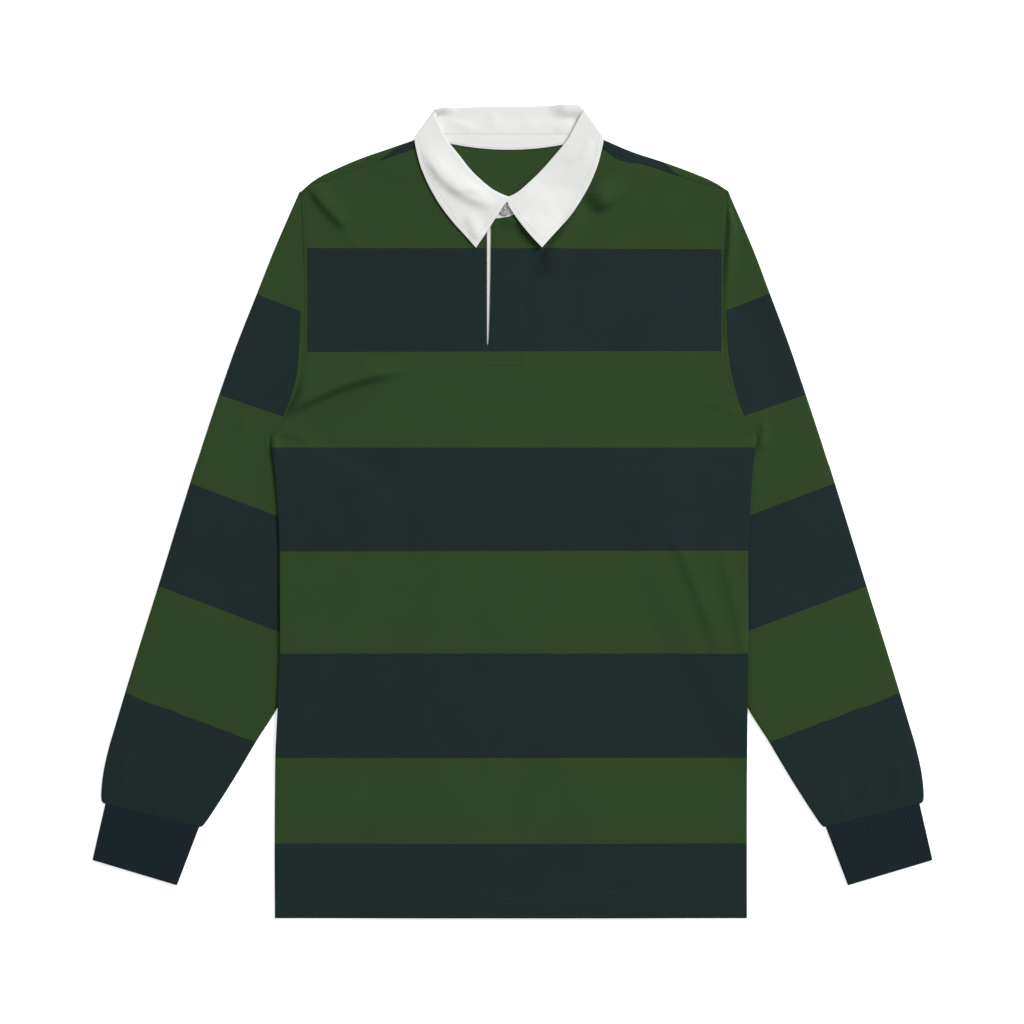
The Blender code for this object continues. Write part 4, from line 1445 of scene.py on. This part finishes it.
# What shapes the leaves at the front fades out over this many sections. Each share is of a leaf's
# width from the roll: where something starts, and the stretch over which it comes in.
FRONT_SECTIONS = 2.5
FRONT_BOW = 2.6  # the left leaf's front edge bows in by this
BOW_WAY = (0.8, 0.6)
APEX_SHIFT = 2.3  # the leaves' front edges meet this much to the right of the button's line
APEX_POWER = 1.5
APEX_RAMP = 0.15
LEFT_FRONT_LIFT = 4.6
LIFT_SECTIONS = 3.5
LIFT_START, LIFT_RAMP = 0.1, 0.6
CORNER_SETTLES = 0.1
REST_START, REST_RAMP = 0.3, 0.45
ROLL_FADE, EDGE_FADE = 0.25, 0.12  # the leaves' creases, beside the roll and the outer edge
FROM_EDGE = 5.5  # the leaf's stitching runs this far inside its outer edge
FRONT_LINE = 4  # the mesh row that it follows along the front edge
LAST_LINE = 62  # the mesh row where it goes out of sight


def fall_row(section, around):
    """The fall: round the roll, then down on the front or under the back to its outer edge."""
    radius = section.radius
    row = []
    for step in range(ROLL_CELLS):
        angle = mix(ROLL_START / radius - math.pi / 2, math.pi / 2, step / ROLL_CELLS)
        forward, up = -ROLL_REACH * math.cos(angle), radius * math.sin(angle)
        x, y, z = collar_point(section, section.edge, forward, up)
        row.append(Point(x, y, z, around, radius * (angle - math.pi / 2)))
    width = across(section, section.edge)[2]
    flatness = math.cos(section.turn) ** 2
    on_top = section.turn < math.pi / 2
    at_left = section.place > BACK_ROW
    from_front = min(section.place, LAST_ROW - section.place)
    at_front = ease(1 - from_front / FRONT_SECTIONS)
    for share in parts_of(LEAF_CELLS):
        x, y, z = collar_point(section, section.edge, share * width, radius)
        bow = FRONT_BOW * at_front * 4 * share * (1 - share) * at_left
        shift = APEX_SHIFT * at_front * (1 - share) ** APEX_POWER * ease(share / APEX_RAMP)
        x, y = x - bow * BOW_WAY[0] - shift, y - bow * BOW_WAY[1]
        z -= corner_lift(section.place) * ease(share / CORNER_SETTLES)
        on_front = front_height(x, y) + creased(x, y, FRONT_CREASES)
        rest = on_front + LEAF_REST if on_top else FALL_Z
        z = mix(z, rest, flatness * ease((share - REST_START) / REST_RAMP))
        if on_top:
            fade = ease(share / ROLL_FADE) * ease((1 - share) / EDGE_FADE)
            lifted = ease(1 - from_front / LIFT_SECTIONS) * ease((share - LIFT_START) / LIFT_RAMP)
            z += creased(x, y, LEAF_CREASES) * fade + LEFT_FRONT_LIFT * lifted * at_left
        row.append(Point(x, y, z, around, share * width))
    return row


def edge_stitching(rows):
    """The line of stitches along a leaf's front edge, round its point and up its outer edge."""
    leaves = [row[ROLL_CELLS:] for row in rows]
    cell = LEAF_CELLS / leaves[0][-1].along

    def inside_edge(leaf):
        return leaf[round(LEAF_CELLS * (1 - FROM_EDGE / leaf[-1].along))]

    front = leaves[FRONT_LINE]
    line = front[2 : round((front[-1].along - FROM_EDGE) * cell)]
    line += [inside_edge(leaf) for leaf in leaves[FRONT_LINE:LAST_LINE]]
    return [(point.x, point.y, point.z + TWILL / 2) for point in line]


fall_cloth = round_collar("edge", fall_row)
fall = cloth("twill_collar_fall", [fall_cloth], TWILL, collar_twill)
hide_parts("collar_fall")
leaf_lines = [edge_stitching(fall_cloth), edge_stitching(fall_cloth[::-1])]
edge_stitches = topstitched("collar_edge_topstitching", leaf_lines, white_thread)


# ---------------------------------------------------------------- neck tape
# A bleached herringbone tape covers the back neck seam. It is a little deeper in the middle.

TAPE = 0.8
TAPE_REACH = 64.0  # either side of the middle
TAPE_DEPTH = 14.5
TAPE_TAPER = 7.3
TAPE_CELLS = 40
FROM_TAPE_EDGE = 1.8
TAPE_ROWS = 5


def tape_rows():
    rows = []
    top = COLLAR[-1].seam_y
    for share in parts_of(TAPE_CELLS):
        x = COLLAR_X + mix(-TAPE_REACH, TAPE_REACH, share)
        depth = TAPE_DEPTH - TAPE_TAPER * (2 * share - 1) ** 2
        downs = [depth * down for down in parts_of(TAPE_ROWS)]
        rows.append([Point(x, top - d, on_back(x, top - d, TAPE), x, -d) for d in downs])
    return rows


tape_cloth = tape_rows()
tape_twill = white_twill("white_neck_tape", "#E4E5E3")
tape = cloth("neck_tape_twill", [tape_cloth], TAPE, tape_twill)
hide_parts("neck_tape")
below_tape = [(row[-1].x, row[-1].y + FROM_TAPE_EDGE, row[-1].z + TAPE / 2) for row in tape_cloth]
tape_stitches = topstitched("tape_topstitching", [below_tape], white_thread)


# ---------------------------------------------------------------- neck button
# A four-hole button of pearly polyester on the stand's lapped end, with a turned rim and a
# dished middle, sewn on with white thread in two bars.

BUTTON_X, BUTTON_Y = -7.5, 301.5
BUTTON_RADIUS = 5.5
BUTTON_THICKNESS = 1.8
BUTTON_CLEAR = 0.2
BUTTON_SIDES = 48
BUTTON_RIM = 1.3
BUTTON_DISH = 0.5
DISH_SLOPE = 0.5
BUTTON_ROUND = 0.25
HOLE_OUT = 1.9
HOLE_TURNS = (45, 135, 225, 315)
HOLE_RADIUS = 0.7
HOLE_SIDES = 12
THREAD_RADIUS = 0.28
THREAD_SIDES = 8
BAR_STEPS = 24
BAR_ABOVE_DISH = 0.1
BAR_MIDDLE = 0.55  # how far below its top a bar's ring has its middle
BAR_SHOULDER = 0.5  # less far below its top than this, a bar is pressed flat
BAR_PRESSED = 0.55  # to this share of its height
STRANDS = (-0.6, 0.6)  # thread radii from the bar's line to the middle of each strand


def pearl_polyester():
    """Cast polyester with pearl flake: satin, with soft cloudy bands of lighter and darker grey."""
    made, shader = new_finish("pearl_polyester")
    place = add_node(made, "TexCoord", {}).outputs["Object"]
    cloud = add_node(made, "TexNoise", {"Vector": place, "Scale": 0.25 / MM, "Detail": 3.0})
    ramp = add_node(made, "ValToRGB", {"Fac": cloud})
    stops = zip(ramp.color_ramp.elements, ("#7F8183", "#BDBEBE"), (0.35, 0.7))
    for stop, colour, position in stops:
        stop.color = linear(colour)
        stop.position = position
    feed(made, shader, {"Base Color": ramp, "Roughness": 0.28, "IOR": 1.54})
    feed(made, shader, {"Coat Weight": 0.4, "Coat Roughness": 0.15})
    return made


def turned_disc(x, y, bottom):
    """The button's body: a disc with a rim and a dished middle."""
    bpy.ops.mesh.primitive_cylinder_add(
        vertices=BUTTON_SIDES,
        radius=BUTTON_RADIUS * MM,
        depth=BUTTON_THICKNESS * MM,
        location=(x * MM, y * MM, (bottom + BUTTON_THICKNESS / 2) * MM),
    )
    disc = bpy.context.object
    bpy.ops.object.transform_apply(location=True, rotation=True, scale=True)
    bpy.ops.object.mode_set(mode="EDIT")
    bpy.ops.mesh.select_mode(type="FACE")
    bpy.ops.object.mode_set(mode="OBJECT")
    for face in disc.data.polygons:
        face.select = face.normal.z > END_ON
    bpy.ops.object.mode_set(mode="EDIT")
    bpy.ops.mesh.inset(thickness=BUTTON_RIM * MM)
    bpy.ops.mesh.inset(thickness=DISH_SLOPE * MM, depth=-BUTTON_DISH * MM)
    bpy.ops.object.mode_set(mode="OBJECT")
    return disc


def drilled(disc, x, y, middle):
    """Drills the disc's four holes and rounds all its edges."""
    for turn in HOLE_TURNS:
        way = math.radians(turn)
        bpy.ops.mesh.primitive_cylinder_add(
            vertices=HOLE_SIDES,
            radius=HOLE_RADIUS * MM,
            depth=3 * BUTTON_THICKNESS * MM,
            location=(
                (x + HOLE_OUT * math.cos(way)) * MM,
                (y + HOLE_OUT * math.sin(way)) * MM,
                middle * MM,
            ),
        )
        drill = bpy.context.object
        apply_modifier(disc, "BOOLEAN", operation="DIFFERENCE", object=drill)
        bpy.data.objects.remove(drill)
    apply_modifier(
        disc,
        "BEVEL",
        width=BUTTON_ROUND * MM,
        segments=2,
        limit_method="ANGLE",
        angle_limit=math.radians(50),
    )


def thread_bars(x, y, top):
    """Two bars of two strands, each over the dish between two holes and down into them."""
    reach = HOLE_OUT * math.cos(math.radians(HOLE_TURNS[0]))
    bars = []
    for side in (-1, 1):
        for strand in STRANDS:
            bpy.ops.mesh.primitive_torus_add(
                major_radius=reach * MM,
                minor_radius=THREAD_RADIUS * MM,
                major_segments=BAR_STEPS,
                minor_segments=THREAD_SIDES,
                location=(
                    x * MM,
                    (y + side * reach + strand * THREAD_RADIUS) * MM,
                    (top - BAR_MIDDLE) * MM,
                ),
                rotation=(math.radians(90), 0, 0),
            )
            bpy.ops.object.transform_apply(location=True, rotation=True, scale=True)
            bar = bpy.context.object
            for vert in bar.data.vertices:
                if vert.co.z > (top - BAR_SHOULDER) * MM:
                    vert.co.z = mix(top * MM, vert.co.z, BAR_PRESSED)
            bars.append(bar)
    sewn = joined(bars)
    bpy.ops.object.shade_smooth()
    return sewn


button_bottom = front_height(BUTTON_X, BUTTON_Y) + TWILL / 2 + GAP + BUTTON_CLEAR
button = turned_disc(BUTTON_X, BUTTON_Y, button_bottom)
button.name = "four_hole_button"
drilled(button, BUTTON_X, BUTTON_Y, button_bottom + BUTTON_THICKNESS / 2)
select(button)
bpy.ops.object.shade_smooth_by_angle(angle=math.radians(40))
button.data.materials.append(pearl_polyester())
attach(button, "root")
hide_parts("button_neck")

bar_top = button_bottom + BUTTON_THICKNESS - BUTTON_DISH + BAR_ABOVE_DISH
thread = thread_bars(BUTTON_X, BUTTON_Y, bar_top)
thread.name = "button_thread"
thread.data.materials.append(white_thread)
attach(thread, "root")
